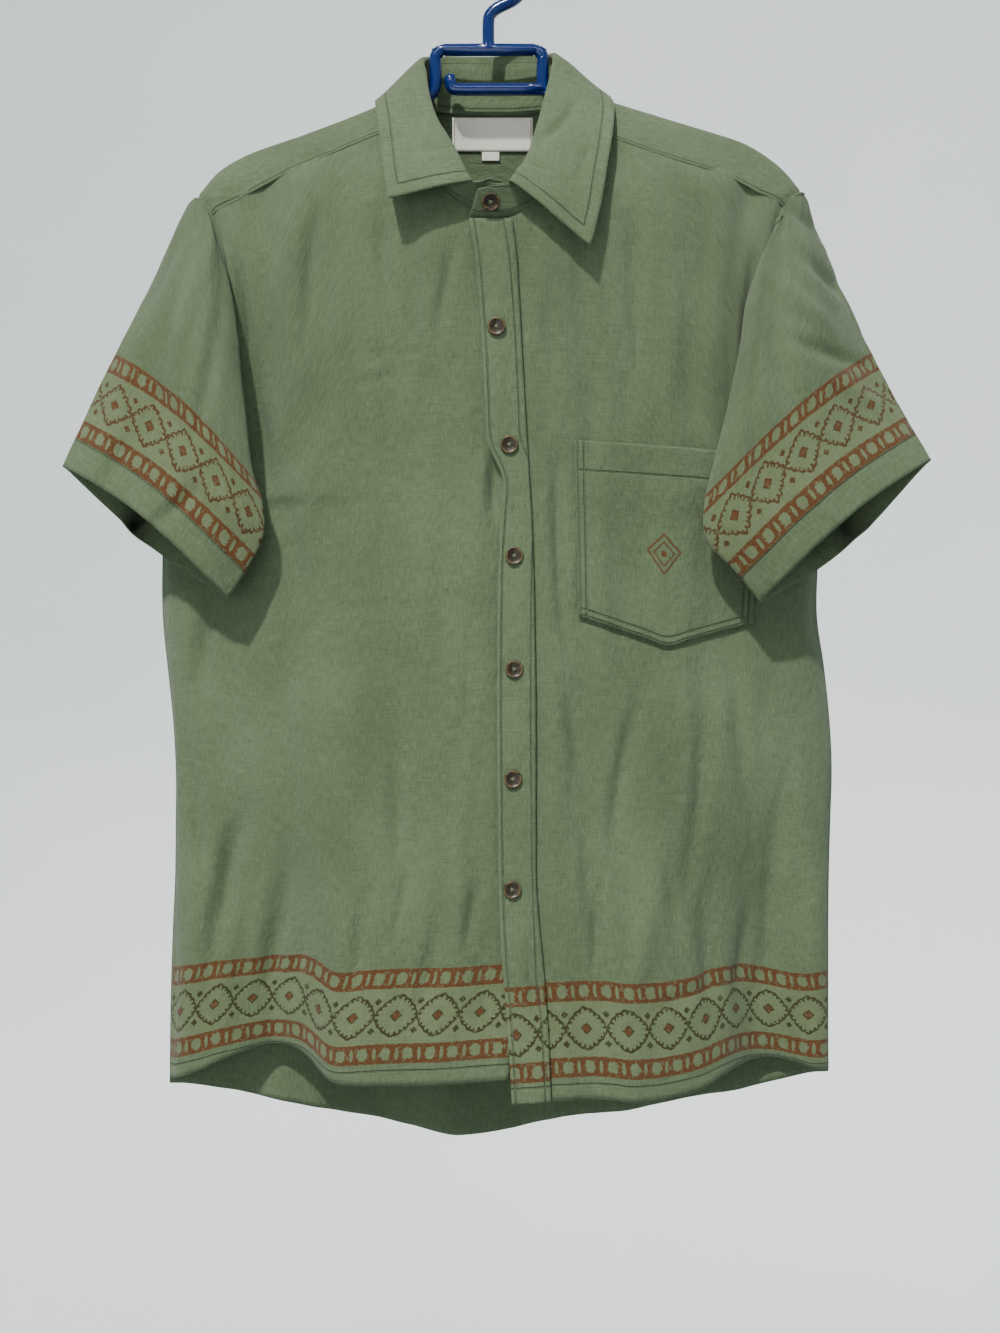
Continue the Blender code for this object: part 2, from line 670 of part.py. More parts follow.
def through(line, place):
    """A point on the smooth curve through a row of points, at a place counted in points."""
    last = len(line) - 1
    number = min(int(place), last - 1)
    t = place - number
    p1, p2 = line[number], line[number + 1]
    p0 = line[number - 1] if number else p1 + (p1 - p2)
    p3 = line[number + 2] if number + 2 <= last else p2 + (p2 - p1)
    return 0.5 * ((2 * p1) + (p2 - p0) * t + (2 * p0 - 5 * p1 + 4 * p2 - p3) * t * t
                  + (3 * p1 - p0 - 3 * p2 + p3) * t ** 3)


def along(line, share):
    """A point a share of the way along a row of points, by length, on a smooth curve."""
    total = sum((b - a).length for a, b in zip(line, line[1:]))
    want = share * total
    last = len(line) - 1
    for number in range(last):
        length = (line[number + 1] - line[number]).length
        if want <= length or number == last - 1:
            break
        want -= length
    return through(line, number + clamp(want / length))


def inside_body(side, x, y, z, lift):
    """Whether a point is in the shirt's body, or nearer to it than the lift."""
    beyond = SIGN[side] * (x - outline_x("front", side, z))
    if beyond >= lift:
        return False
    near = lift * math.sqrt(1.0 - (max(beyond, 0.0) / lift) ** 2)
    if side == "left" and x < POCKET_OUTER_X + 8.0 and z < POCKET[0].top_z + 12.0:
        near += POCKET_OUT * ease((POCKET_OUTER_X + 8.0 - x) / 8.0)
    return body_y("front", x, z) - near < y < body_y("back", x, z) + near


def clear_of_body(side, point, lift, turn):
    """Move a sleeve's point clear of the body: forwards, or outwards as turn goes to 1."""
    angle = ease(turn) * math.pi / 2
    away = Vector((SIGN[side] * math.sin(angle), -math.cos(angle), 0.0))
    while inside_body(side, point.x, point.y, point.z, lift):
        point += away * 0.4
    return point


def sleeve_grid(side, steps):
    """Rings of a sleeve, a list for each step from the armhole to the cuff."""
    shape = SLEEVE_SHAPE[side]
    ring, outward, over = armhole_ring(side)
    start = []
    for point, away in zip(ring, outward):
        start.append(point + away * (SEAM * 1.5 + ARMPIT_GAP * read(SECTIONS, "z", "round", point.z)))
    count = len(ring)
    fold_place = over + FOLD_ROW[side]
    armpit_place = over + len(ARMHOLE_ROWS) - 1
    top_line = [start[0]] + [Vector(row) for row in SLEEVE_TOP[side]]
    fold_line = [start[fold_place]] + [Vector(row) for row in SLEEVE_FOLD[side]]
    lift = SLEEVE_LIFT
    grid = []
    for step, s in enumerate(steps):
        top = along(top_line, s)
        fold = along(fold_line, s)
        row = []
        for place in range(count):
            front = place <= fold_place
            if front:
                t = place / fold_place
                near, far, near_end, far_end = top, fold, top_line[-1], fold_line[-1]
                near_start, far_start = start[0], start[fold_place]
            else:
                if place <= armpit_place:
                    t = ARMPIT_SHARE * (place - fold_place) / (armpit_place - fold_place)
                else:
                    t = mix(ARMPIT_SHARE, 1.0, (place - armpit_place) / (count - armpit_place))
                near, far, near_end, far_end = fold, top, fold_line[-1], top_line[-1]
                near_start, far_start = start[fold_place], start[0]
            arc = math.sin(math.pi * t) ** 0.62
            cuff = mix(near_end, far_end, t)
            cuff.z += math.sin(math.pi * t) * (shape.cuff_rise if front else -shape.cuff_drop)
            cuff.y += arc * (-shape.front_puff if front else shape.back_puff)
            hold = 1.0 - t if front else (1.0 - t) ** FOLD_FADE
            point = mix(start[place], cuff, s)
            point += (near - mix(near_start, near_end, s)) * hold
            point += (far - mix(far_start, far_end, s)) * t
            rise = ease(s / 0.35) * (1.0 - s)
            point.y += arc * rise * (-shape.front_puff if front else 0.5 * shape.back_puff)
            under = math.exp(-((place - armpit_place - UNDER_PLACE) / UNDER_WIDTH) ** 2)
            under *= math.sin(math.pi * s ** 0.8) ** 0.8
            point.x += SIGN[side] * shape.swing * under
            point.z -= UNDER_DROP * under
            if step == 0:
                point = start[place].copy()
            elif step == 1:
                if front:
                    rim = (place / fold_place) ** 3
                elif place <= armpit_place:
                    rim = 1.0
                else:
                    rim = max(0.0, 1.0 - (place - armpit_place) / 4.0) ** 2
                round_here = read(SECTIONS, "z", "round", ring[place].z)
                out = mix(mix(HEAD_OUT, FOLD_OUT, rim), ARMPIT_OUT, round_here)
                point = start[place] + outward[place] * out
                point.y -= lift * rim * mix(1.0, ARMPIT_FORWARD, round_here)
                if not front and place > armpit_place:
                    point.y += 1.2 * (1.0 - rim) * arc
            else:
                point = clear_of_body(side, point, lift, (place - armpit_place + 4.0) / 5.0)
            row.append(point)
        grid.append(row)
    return grid


def lifted_clear(point, lift):
    """Keep a point of the collar outside the body and yoke by a lift."""
    face = "front" if point.y < 0.0 else "back"
    drop = ridge_z(point.x) + lift - point.z
    if drop <= 0.0:
        return point
    below = max(drop - lift, 0.5)
    depth = abs(body_y(face, point.x, ridge_z(point.x) - below))
    full = depth / (1.0 - math.exp(-math.sqrt(below / RIDGE_HEIGHT))) + lift
    if point.z > ridge_z(point.x) - 8.0:
        allowed = RIDGE_HEIGHT * math.log(1.0 - min(abs(point.y) / full, 0.9)) ** 2
        point.z += max(0.0, drop - allowed)
    else:
        limit = full * (1.0 - math.exp(-math.sqrt(drop / RIDGE_HEIGHT)))
        point.y = min(point.y, -limit) if face == "front" else max(point.y, limit)
    return point


def stand_stations():
    return STAND_END_RIGHT + collar_stations() + STAND_END_LEFT


def seam_places(stations):
    """The neck seam as places on the body's surface: x, and sigma from the ridge."""
    return [Vector((station.seam_x, seam_sigma(station), 0.0)) for station in stations]


def stand_section(stations, seams, rolls, place):
    """Bottom and top of the collar stand at a place along the neck."""
    spot = through(seams, place)
    seam = shoulder_point(spot.x, spot.y)
    seam.y -= LAYER * 1.8 * clamp((place - len(stations) + 4.0) / 2.0)
    roll = through(rolls, place)
    up = (roll - seam).normalized()
    return seam + up * STAND_GAP, roll - up * ROLL_GAP


def roll_points(stations):
    return [Vector((station.roll_x, station.roll_y, station.roll_z)) for station in stations]


def stand_grid(cells):
    stations = stand_stations()
    seams, rolls = seam_places(stations), roll_points(stations)
    grid = []
    for cell in range(cells + 1):
        bottom, top = stand_section(stations, seams, rolls, cell / cells * (len(stations) - 1))
        grid.append([mix(bottom, top, share) for share in (0.0, 0.5, 1.0)])
    return grid


def fall_grid(cells, rows):
    """The turned-down part of the collar, from the roll to the leaf's edge."""
    stations = collar_stations()
    roll = roll_points(stations)
    leaf = [Vector((s.leaf_x, s.leaf_y, s.leaf_z)) for s in stations]
    seams = seam_places(stations)
    grid = []
    for cell in range(cells + 1):
        place = cell / cells * (len(stations) - 1)
        top, edge, spot = (through(line, place) for line in (roll, leaf, seams))
        foot = shoulder_point(spot.x, spot.y)
        before = through(roll, max(place - 0.3, 0.0))
        after = through(roll, min(place + 0.3, len(stations) - 1))
        outward = (after - before).cross(top - foot).normalized()
        if outward.dot(edge - top) < 0.0:
            outward.negate()
        points = [top]
        for row in range(rows):
            share = (row / (rows - 1)) ** 1.15
            point = mix(top + outward * ROLL_OUT, edge, share)
            point += outward * FALL_PUFF * math.sin(math.pi * share) * (1.0 - share)
            points.append(lifted_clear(point, FALL_LIFT))
        grid.append(points)
    return grid


def placket_grid(rows):
    grid = []
    for share in (0.0, 0.5, 1.0):
        points = []
        for row in range(rows + 1):
            place = row / rows
            x_mid = mix(1.0, 30.0, place)
            top = -224.0
            low = read(HEM_LEFT, "x", "z", x_mid)
            z = mix(top, low, place)
            x = mix(read(OPENING, "z", "free", z), read(OPENING, "z", "seam", z), share)
            if place == 1.0:
                z = read(HEM_LEFT, "x", "z", x)
            points.append(Vector((x, body_y("front", x, z) - over_layer("left", x) - LAYER, z)))
        grid.append(points)
    return grid


def pocket_grid(cells):
    grid = []
    for column in range(cells + 1):
        share = column / cells
        top = read(POCKET, "share", "top_z", share)
        low = mix(POCKET[0].low_z, POCKET[1].low_z, share * 2.0) if share < 0.5 else \
            mix(POCKET[1].low_z, POCKET[2].low_z, share * 2.0 - 1.0)
        points = []
        for row in range(cells + 1):
            z = mix(top, low, row / cells)
            x = mix(POCKET_INNER_X, POCKET_OUTER_X, share) + 2.5 * row / cells * (1.0 - share)
            points.append(body_point("front", x, z, POCKET_OUT) - Vector((0.0, over_layer("left", x), 0.0)))
        grid.append(points)
    return grid


def tape_grid(width, top, low, middle, cells):
    """A flat tape on the inside of the back yoke."""
    grid = []
    inward = CLOTH / 2 + LABEL_CLOTH / 2 + 0.35
    for column in range(cells + 1):
        x = middle + width * (column / cells - 0.5)
        points = []
        for row in range(3):
            z = mix(top, low, row / 2)
            points.append(body_point("back", x, z, -inward))
        grid.append(points)
    return grid


def make_material(look):
    material = bpy.data.materials.new(look.name)
    material.use_nodes = True
    shader = material.node_tree.nodes["Principled BSDF"]
    shader.inputs["Base Color"].default_value = look.colour
    shader.inputs["Roughness"].default_value = look.roughness
    shader.inputs["Metallic"].default_value = 0.0
    material.diffuse_color = look.colour
    return material


def add_object(name, data, collection, material, parent):
    item = bpy.data.objects.new(name, data)
    collection.objects.link(item)
    data.materials.append(material)
    item.parent = parent
    return item


def cloth_object(name, grid, closed, inside_out, thickness, collection, material, parent):
    """An open sheet through a grid of points, given its wall by Solidify."""
    mesh = bpy.data.meshes.new(name)
    shape = bmesh.new()
    verts = [[shape.verts.new(point * MM) for point in line] for line in grid]
    lines = len(grid)
    length = len(grid[0])
    for a in range(lines - 1):
        for b in range(length if closed else length - 1):
            c = (b + 1) % length
            corners = [verts[a][b], verts[a + 1][b], verts[a + 1][c], verts[a][c]]
            if inside_out:
                corners.reverse()
            shape.faces.new(corners)
    shape.to_mesh(mesh)
    shape.free()
    mesh.shade_smooth()
    item = add_object(name, mesh, collection, material, parent)
    wall = item.modifiers.new("wall", "SOLIDIFY")
    wall.thickness = thickness * MM
    wall.offset = 0.0
    return item


def tube(name, points, collection):
    """A round bar through a row of points, as a mesh with its ends welded on."""
    curve = bpy.data.curves.new(name, "CURVE")
    curve.dimensions = "3D"
    curve.bevel_depth = TUBE * MM
    curve.bevel_resolution = 3
    curve.use_fill_caps = True
    spline = curve.splines.new("POLY")
    spline.points.add(len(points) - 1)
    for spot, point in zip(spline.points, points):
        spot.co = (point.x * MM, point.y * MM, point.z * MM, 1.0)
    item = bpy.data.objects.new(name + "_curve", curve)
    collection.objects.link(item)
    evaluated = item.evaluated_get(bpy.context.evaluated_depsgraph_get())
    mesh = bpy.data.meshes.new_from_object(evaluated)
    bpy.data.objects.remove(item)
    shape = bmesh.new()
    shape.from_mesh(mesh)
    bmesh.ops.remove_doubles(shape, verts=shape.verts, dist=0.01 * MM)
    shape.to_mesh(mesh)
    shape.free()
    bar = bpy.data.objects.new(name, mesh)
    collection.objects.link(bar)
    return bar


def arc_points(centre_x, centre_z, radius, start, end, steps):
    points = []
    for step in range(steps + 1):
        angle = math.radians(mix(start, end, step / steps))
        points.append(Vector((centre_x + radius * math.cos(angle), 0.0, centre_z + radius * math.sin(angle))))
    return points


def frame_points():
    """From one arm's tip over the neck loop to the other arm's tip."""
    right = [Vector((x, 0.0, ridge_z(x) - ARM_BELOW_RIDGE)) for x in (-178, -160, -135, -110, -85, -66)]
    left = [Vector((x, 0.0, ridge_z(x) - ARM_BELOW_RIDGE)) for x in (76, 95, 120, 145, 168, 186)]
    corner = LOOP_CORNER
    points = right + [Vector((-LOOP_HALF - 5.0, 0.0, -120.5)), Vector((-LOOP_HALF, 0.0, -112.0))]
    points += arc_points(-LOOP_HALF + corner, BAR_Z - corner, corner, 180, 90, 4)
    points += arc_points(LOOP_HALF + 1.0 - corner, BAR_Z - corner, corner, 90, 0, 4)
    points += [Vector((LOOP_HALF + 1.0, 0.0, -112.0)), Vector((LOOP_HALF + 8.0, 0.0, -120.0))]
    return points + left


def hook_points():
    """The stem, its sideways bend and the round hook, to its rounded tip."""
    centre_z = TUBE - HOOK_RADIUS
    points = [Vector((0.0, 0.0, BAR_Z)), Vector((0.0, 0.0, STEM_TOP)), Vector((1.5, 0.0, STEM_TOP + 5.5)),
              Vector((6.5, 0.0, STEM_TOP + 10.0))]
    return points + arc_points(HOOK_SHIFT, centre_z, HOOK_RADIUS, -58, 196, 22)


def rest_points():
    """The open bar under the neck loop, with its upturned end."""
    places = [(LOOP_HALF + 1.0, 0.0), (0.0, 0.0), (REST_END + 4.0, 0.0), (REST_END, 2.0), (REST_END - 1.0, 7.0)]
    return [Vector((x, 0.0, REST_Z + up)) for x, up in places]


def build_hanger(collection, parts, material, parent):
    frame = tube("hanger", frame_points(), collection)
    frame.parent = parent
    frame.data.materials.append(material)
    for name, points in (("hook", hook_points()), ("rest", rest_points())):
        piece = tube(name, points, parts)
        piece.hide_render = True
        piece.display_type = "WIRE"
        joint = frame.modifiers.new(name, "BOOLEAN")
        joint.operation = "UNION"
        joint.object = piece
    return frame


def button_mesh():
    """A turned button: a flat back, a round rim and a dished face."""
    profile = [(0.0, 0.0), (0.72, 0.0), (1.0, 0.35), (0.98, 0.8), (0.86, 1.0), (0.66, 0.72), (0.0, 0.66)]
    mesh = bpy.data.meshes.new("button")
    shape = bmesh.new()
    verts = [shape.verts.new((r * BUTTON_RADIUS * MM, -h * BUTTON_THICK * MM, 0.0)) for r, h in profile]
    for a, b in zip(verts, verts[1:]):
        shape.edges.new((a, b))
    shape.to_mesh(mesh)
    shape.free()
    return mesh


def add_button(name, mesh, place, facing, collection, parent):
    item = bpy.data.objects.new(name, mesh)
    collection.objects.link(item)
    item.parent = parent
    item.location = place * MM
    item.rotation_mode = "QUATERNION"
    item.rotation_quaternion = Vector((0.0, -1.0, 0.0)).rotation_difference(facing)
    turn = item.modifiers.new("turn", "SCREW")
    turn.axis = "Y"
    turn.steps = 14
    turn.render_steps = 14
    turn.use_merge_vertices = True
    turn.merge_threshold = 0.00001
    turn.use_normal_calculate = True
    return item


def build():
    for item in list(bpy.data.objects):
        bpy.data.objects.remove(item)
    collection = bpy.data.collections.new("short-sleeve shirt on a hanger")
    bpy.context.scene.collection.children.link(collection)
    joined = bpy.data.collections.new("hanger pieces")
    bpy.context.scene.collection.children.link(joined)
    root = bpy.data.objects.new("shirt_on_hanger", None)
    collection.objects.link(root)
    plastic = make_material(HANGER_LOOK)
    build_hanger(collection, joined, plastic, root)

    def cloth(name, grid, closed=False, inside_out=False, thickness=CLOTH, look=CLOTH_LOOK):
        material = make_material(look._replace(name=name + " " + look.name))
        return cloth_object(name, grid, closed, inside_out, thickness, collection, material, root)

    cloth("front_right", front_grid("right", FRONT_COLUMNS))
    cloth("front_left", front_grid("left", FRONT_COLUMNS), inside_out=True)
    cloth("back", back_grid(BACK_COLUMNS), inside_out=True)
    cloth("yoke", yoke_grid(YOKE_ROWS))
    for side in ("right", "left"):
        grid = sleeve_grid(side, SLEEVE_STEPS)
        cloth("sleeve_" + side, grid, closed=True, inside_out=side == "left")
    cloth("collar_stand", stand_grid(40))
    cloth("collar_fall", fall_grid(32, FALL_ROWS))
    cloth("placket", placket_grid(24))
    cloth("pocket", pocket_grid(POCKET_CELLS))
    cloth("neck_label", tape_grid(LABEL_WIDTH, LABEL_TOP, LABEL_LOW, LABEL_X, 6), thickness=LABEL_CLOTH,
          look=LABEL_LOOK)
    cloth("size_tab", tape_grid(TAB_WIDTH, LABEL_LOW - 0.4, TAB_LOW, TAB_X, 2), thickness=LABEL_CLOTH,
          look=LABEL_LOOK)

    mesh = button_mesh()
    mesh.materials.append(make_material(BUTTON_LOOK))
    seat = LAYER * 2 + CLOTH / 2 + 0.35
    for number, spot in enumerate(BUTTONS, 2):
        here = body_point("front", spot.x, spot.z)
        facing = body_point("front", spot.x, spot.z, 1.0) - here
        add_button("button_%d" % number, mesh, here + Vector((0.0, -seat, 0.0)), facing, collection, root)
    stations = stand_stations()
    seams, rolls = seam_places(stations), roll_points(stations)
    spot = len(stations) - 1 - STAND_BUTTON_BACK
    before, here, after = (stand_section(stations, seams, rolls, spot + step) for step in (-0.2, 0.0, 0.2))
    facing = (after[0] - before[0]).cross(here[1] - here[0]).normalized()
    if facing.y > 0.0:
        facing.negate()
    place = mix(here[0], here[1], 0.5) + facing * (CLOTH / 2 + STAND_BUTTON_SEAT)
    add_button("button_1", mesh, place, facing, collection, root)


build()
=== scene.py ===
"""A short-sleeve shirt on a plastic hanger: its cloth, print, stitching, buttons and light.

The shirt's forms are worked out from the same named sizes as its plain solids, in
millimetres, on finer grids. The origin is the inside top of the hook, +Z is up, the
front faces -Y and the wearer's left is +X. "right" and "left" are the wearer's.
"""

import math
from collections import namedtuple

import bmesh
import bpy
import numpy as np
from mathutils import Matrix, Vector, noise


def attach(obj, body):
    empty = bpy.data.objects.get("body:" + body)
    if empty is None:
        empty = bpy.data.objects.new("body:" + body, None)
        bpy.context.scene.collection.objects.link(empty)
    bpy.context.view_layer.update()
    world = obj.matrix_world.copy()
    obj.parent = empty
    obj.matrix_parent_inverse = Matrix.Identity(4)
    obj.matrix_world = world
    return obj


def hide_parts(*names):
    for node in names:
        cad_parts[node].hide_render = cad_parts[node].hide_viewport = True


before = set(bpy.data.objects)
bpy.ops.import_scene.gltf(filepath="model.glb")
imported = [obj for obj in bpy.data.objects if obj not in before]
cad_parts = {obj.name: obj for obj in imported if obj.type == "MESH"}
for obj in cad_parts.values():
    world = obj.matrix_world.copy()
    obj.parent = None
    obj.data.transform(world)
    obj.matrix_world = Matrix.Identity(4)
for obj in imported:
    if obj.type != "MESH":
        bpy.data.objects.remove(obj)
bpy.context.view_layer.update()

MM = 0.001

# Cloth and seams.
CLOTH = 1.6
LABEL_CLOTH = 1.0
SEAM = 0.6
LAYER = 2.3
SIGN = {"right": -1.0, "left": 1.0}

# Hanger.
TUBE = 4.5
HOOK_RADIUS = 30.0
HOOK_SHIFT = 1.0
STEM_TOP = -66.0
BAR_Z = -86.6
LOOP_HALF = 39.0
LOOP_CORNER = 7.0
REST_Z = -115.5
REST_END = -27.0
ARM_BELOW_RIDGE = 7.0

# Body.
CENTRE_X = 10.0
RIDGE_HEIGHT = 20.0
YOKE_BACK_Z = -213.0
ARMPIT_Z = -428.0
FOLD_EDGE = 25.0
SEAM_CHANGE = 30.0
BODY_CURVE = 1.9
ROUND_WIDTH = 0.07
ROUND_SHARE = 0.28
OUTER_CROWD = 1.6
BACK_CROWD = 1.35
FRONT_COLUMNS = 15
CORNER_COLUMN = 9
BACK_COLUMNS = 20
LOW_ROWS = 11
YOKE_ROWS = 10
YOKE_RIDGE_ROW = 5
YOKE_EDGE_COLUMNS = 3.0
YOKE_FRONT_SHARES = [0.0, 0.09, 0.22, 0.38, 0.56, 0.73, 0.88]
YOKE_BACK_RIGHT = (-201.0, -112.0)
YOKE_BACK_LEFT = (211.0, 122.0)
YOKE_NECK_ENDS = [-100.0, -88.0, -76.0, -54.0, -26.0, 3.0, 32.0, 60.0, 84.0, 98.0, 110.0]
YOKE_NECK_BACK = 0.2
OVER_START = 72.0
OVER_RAMP = 20.0

# Heights of the panel rows beside the armhole, shared by panels and sleeves.
ARMHOLE_ROWS = [-213.6, -224.0, -238.0, -256.0, -282.0, -310.0,
                -338.0, -364.0, -386.0, -404.0, -418.0, -428.0]
FOLD_ROW = {"right": 3, "left": 2}
CORNER_Z = {"right": -211.0, "left": -205.0}

# The line along the top of the shoulders, over the hanger's arms.
RidgePoint = namedtuple("RidgePoint", "x z")
RIDGE = [
    RidgePoint(-216.0, -200.0),
    RidgePoint(-207.0, -188.5),
    RidgePoint(-197.0, -177.5),
    RidgePoint(-186.0, -169.6),
    RidgePoint(-163.0, -160.0),
    RidgePoint(-121.0, -145.0),
    RidgePoint(-87.0, -132.0),
    RidgePoint(-62.0, -122.0),
    RidgePoint(-40.0, -118.0),
    RidgePoint(50.0, -118.0),
    RidgePoint(72.0, -121.0),
    RidgePoint(107.0, -132.0),
    RidgePoint(149.0, -145.0),
    RidgePoint(193.0, -160.0),
    RidgePoint(207.0, -169.5),
    RidgePoint(219.0, -181.5),
    RidgePoint(229.0, -192.0),
]

# Armhole and side seam lines, and the depth of the front and back panels.
Section = namedtuple("Section", "z front_right back_right front_left back_left"
                                " edge_front edge_back mid_front mid_back round")
SECTIONS = [
    Section(-120.0, -216.0, -216.0, 228.0, 228.0, -27, 23, -23, 29, 0.0),
    Section(-150.0, -216.0, -216.0, 228.0, 228.0, -27, 23, -33, 29, 0.0),
    Section(-190.0, -216.0, -216.0, 228.0, 228.0, -27, 23, -50, 29, 0.0),
    Section(-196.0, -210.0, -211.0, 219.0, 221.0, -27, 23, -52, 29, 0.0),
    Section(-203.0, -201.5, -205.0, 211.5, 215.0, -27, 23, -53, 29, 0.0),
    Section(-213.0, -195.5, -201.0, 206.5, 211.0, -28, 23, -54, 29, 0.0),
    Section(-256.0, -187.0, -194.0, 200.0, 205.0, -30, 23, -51, 29, 0.0),
    Section(-300.0, -181.5, -190.0, 196.5, 202.0, -29, 22, -48, 28, 0.0),
    Section(-350.0, -187.0, -195.0, 201.0, 207.0, -24, 19, -45, 28, 0.1),
    Section(-392.0, -208.0, -212.0, 220.0, 223.0, -18, 17, -44, 27, 0.5),
    Section(-417.0, -229.5, -231.5, 237.0, 238.5, -9, 12, -44, 27, 0.8),
    Section(-428.0, -237.0, -237.0, 243.0, 243.0, 3, 3, -44, 27, 1.0),
    Section(-490.0, -239.0, -239.0, 240.0, 240.0, 4, 4, -44, 27, 1.0),
    Section(-550.0, -234.0, -234.0, 247.0, 247.0, 4, 4, -44, 27, 1.0),
    Section(-610.0, -229.0, -229.0, 251.5, 251.5, 4, 4, -44, 27, 1.0),
    Section(-675.0, -229.0, -229.0, 249.5, 249.5, 3, 3, -44, 26, 1.0),
    Section(-750.0, -231.5, -231.5, 248.5, 248.5, 2, 2, -46, 25, 1.0),
    Section(-845.0, -233.0, -233.0, 248.5, 248.5, 1, 1, -50, 24, 1.0),
    Section(-900.0, -233.0, -233.0, 248.5, 248.5, 1, 1, -50, 24, 1.0),
]

# Edges seen from the front, as height against x.
EdgePoint = namedtuple("EdgePoint", "x z")
FRONT_TOP_RIGHT = [
    EdgePoint(-200.0, -213.0),
    EdgePoint(-187.0, -204.5),
    EdgePoint(-160.0, -189.0),
    EdgePoint(-130.0, -176.6),
    EdgePoint(-82.0, -155.0),
    EdgePoint(-64.0, -147.0),
]
NECK_RIGHT = [
    EdgePoint(-64.0, -147.0),
    EdgePoint(-57.0, -164.0),
    EdgePoint(-44.0, -186.0),
    EdgePoint(-27.0, -205.0),
    EdgePoint(-8.0, -218.0),
    EdgePoint(12.0, -223.0),
    EdgePoint(36.0, -224.0),
]
FRONT_TOP_LEFT = [
    EdgePoint(70.0, -148.0),
    EdgePoint(90.0, -157.5),
    EdgePoint(136.6, -174.5),
    EdgePoint(182.7, -188.5),
    EdgePoint(198.0, -196.0),
    EdgePoint(212.0, -206.0),
]
NECK_LEFT = [
    EdgePoint(-20.0, -222.0),
    EdgePoint(12.0, -223.0),
    EdgePoint(28.0, -216.0),
    EdgePoint(44.0, -202.0),
    EdgePoint(58.0, -181.0),
    EdgePoint(66.0, -163.0),
    EdgePoint(70.0, -148.0),
]
HEM_RIGHT = [
    EdgePoint(-233.0, -841.0),
    EdgePoint(-211.0, -832.0),
    EdgePoint(-181.0, -819.0),
    EdgePoint(-150.0, -814.0),
    EdgePoint(-130.0, -819.0),
    EdgePoint(-108.0, -835.0),
    EdgePoint(-62.0, -835.5),
    EdgePoint(12.0, -831.0),
    EdgePoint(40.0, -830.0),
]
HEM_LEFT = [
    EdgePoint(5.0, -848.0),
    EdgePoint(40.0, -845.5),
    EdgePoint(79.0, -844.6),
    EdgePoint(107.0, -846.7),
    EdgePoint(142.0, -844.0),
    EdgePoint(161.0, -836.5),
    EdgePoint(185.0, -827.0),
    EdgePoint(208.0, -826.0),
    EdgePoint(227.0, -829.0),
    EdgePoint(248.5, -833.5),
]
HEM_BACK = [
    EdgePoint(-233.0, -845.0),
    EdgePoint(-170.0, -856.0),
    EdgePoint(-111.0, -870.0),
    EdgePoint(-66.0, -880.0),
    EdgePoint(-18.0, -889.0),
    EdgePoint(23.0, -882.0),
    EdgePoint(68.0, -872.5),
    EdgePoint(113.0, -867.0),
    EdgePoint(187.0, -851.0),
    EdgePoint(248.5, -836.5),
]

# The front opening: the placket's free edge, its seam, and the edge under it.
Opening = namedtuple("Opening", "z free seam under")
OPENING = [
    Opening(-205.0, -13.5, 15.5, 28.0),
    Opening(-222.0, -13.3, 17.0, 28.0),
    Opening(-250.0, -9.0, 20.0, 29.0),
    Opening(-300.0, -5.0, 23.0, 30.0),
    Opening(-345.0, -2.5, 25.5, 31.0),
    Opening(-380.0, -0.5, 27.5, 32.0),
    Opening(-414.0, 11.5, 29.5, 33.0),
    Opening(-440.0, 8.5, 31.0, 33.0),
    Opening(-490.0, 6.8, 32.5, 33.0),
    Opening(-560.0, 6.3, 33.4, 33.0),
    Opening(-690.0, 7.6, 33.8, 33.0),
    Opening(-740.0, 9.5, 38.0, 30.0),
    Opening(-790.0, 13.5, 42.0, 18.0),
    Opening(-850.0, 17.0, 44.5, 13.0),
]

# Large folds: a trough has a positive depth, a ridge a negative one.
Fold = namedtuple("Fold", "x_top x_low z_top z_low width depth_top depth_low")
FRONT_FOLDS = [
    Fold(-166.0, -150.0, -560.0, -850.0, 30.0, 0.0, 27.0),
    Fold(186.0, 204.0, -560.0, -850.0, 32.0, 0.0, 25.0),
    Fold(-155.0, -162.0, -195.0, -440.0, 10.0, 5.0, 2.0),
    Fold(-136.0, -132.0, -190.0, -400.0, 12.0, -4.0, 0.0),
    Fold(186.0, 180.0, -200.0, -400.0, 9.0, 5.0, 1.0),
    Fold(166.0, 150.0, -195.0, -380.0, 12.0, -4.0, 0.0),
    Fold(-60.0, -100.0, -640.0, -850.0, 26.0, 0.0, -5.0),
    Fold(90.0, 112.0, -600.0, -850.0, 30.0, 0.0, -6.0),
]
BACK_FOLDS = [
    Fold(-120.0, -150.0, -260.0, -850.0, 24.0, 2.0, 9.0),
    Fold(-20.0, -24.0, -700.0, -880.0, 10.0, 0.0, 6.0),
    Fold(70.0, 90.0, -320.0, -860.0, 28.0, 1.0, 8.0),
    Fold(170.0, 185.0, -240.0, -850.0, 18.0, 3.0, 7.0),
    Fold(-60.0, -70.0, -500.0, -870.0, 22.0, 0.0, -6.0),
]

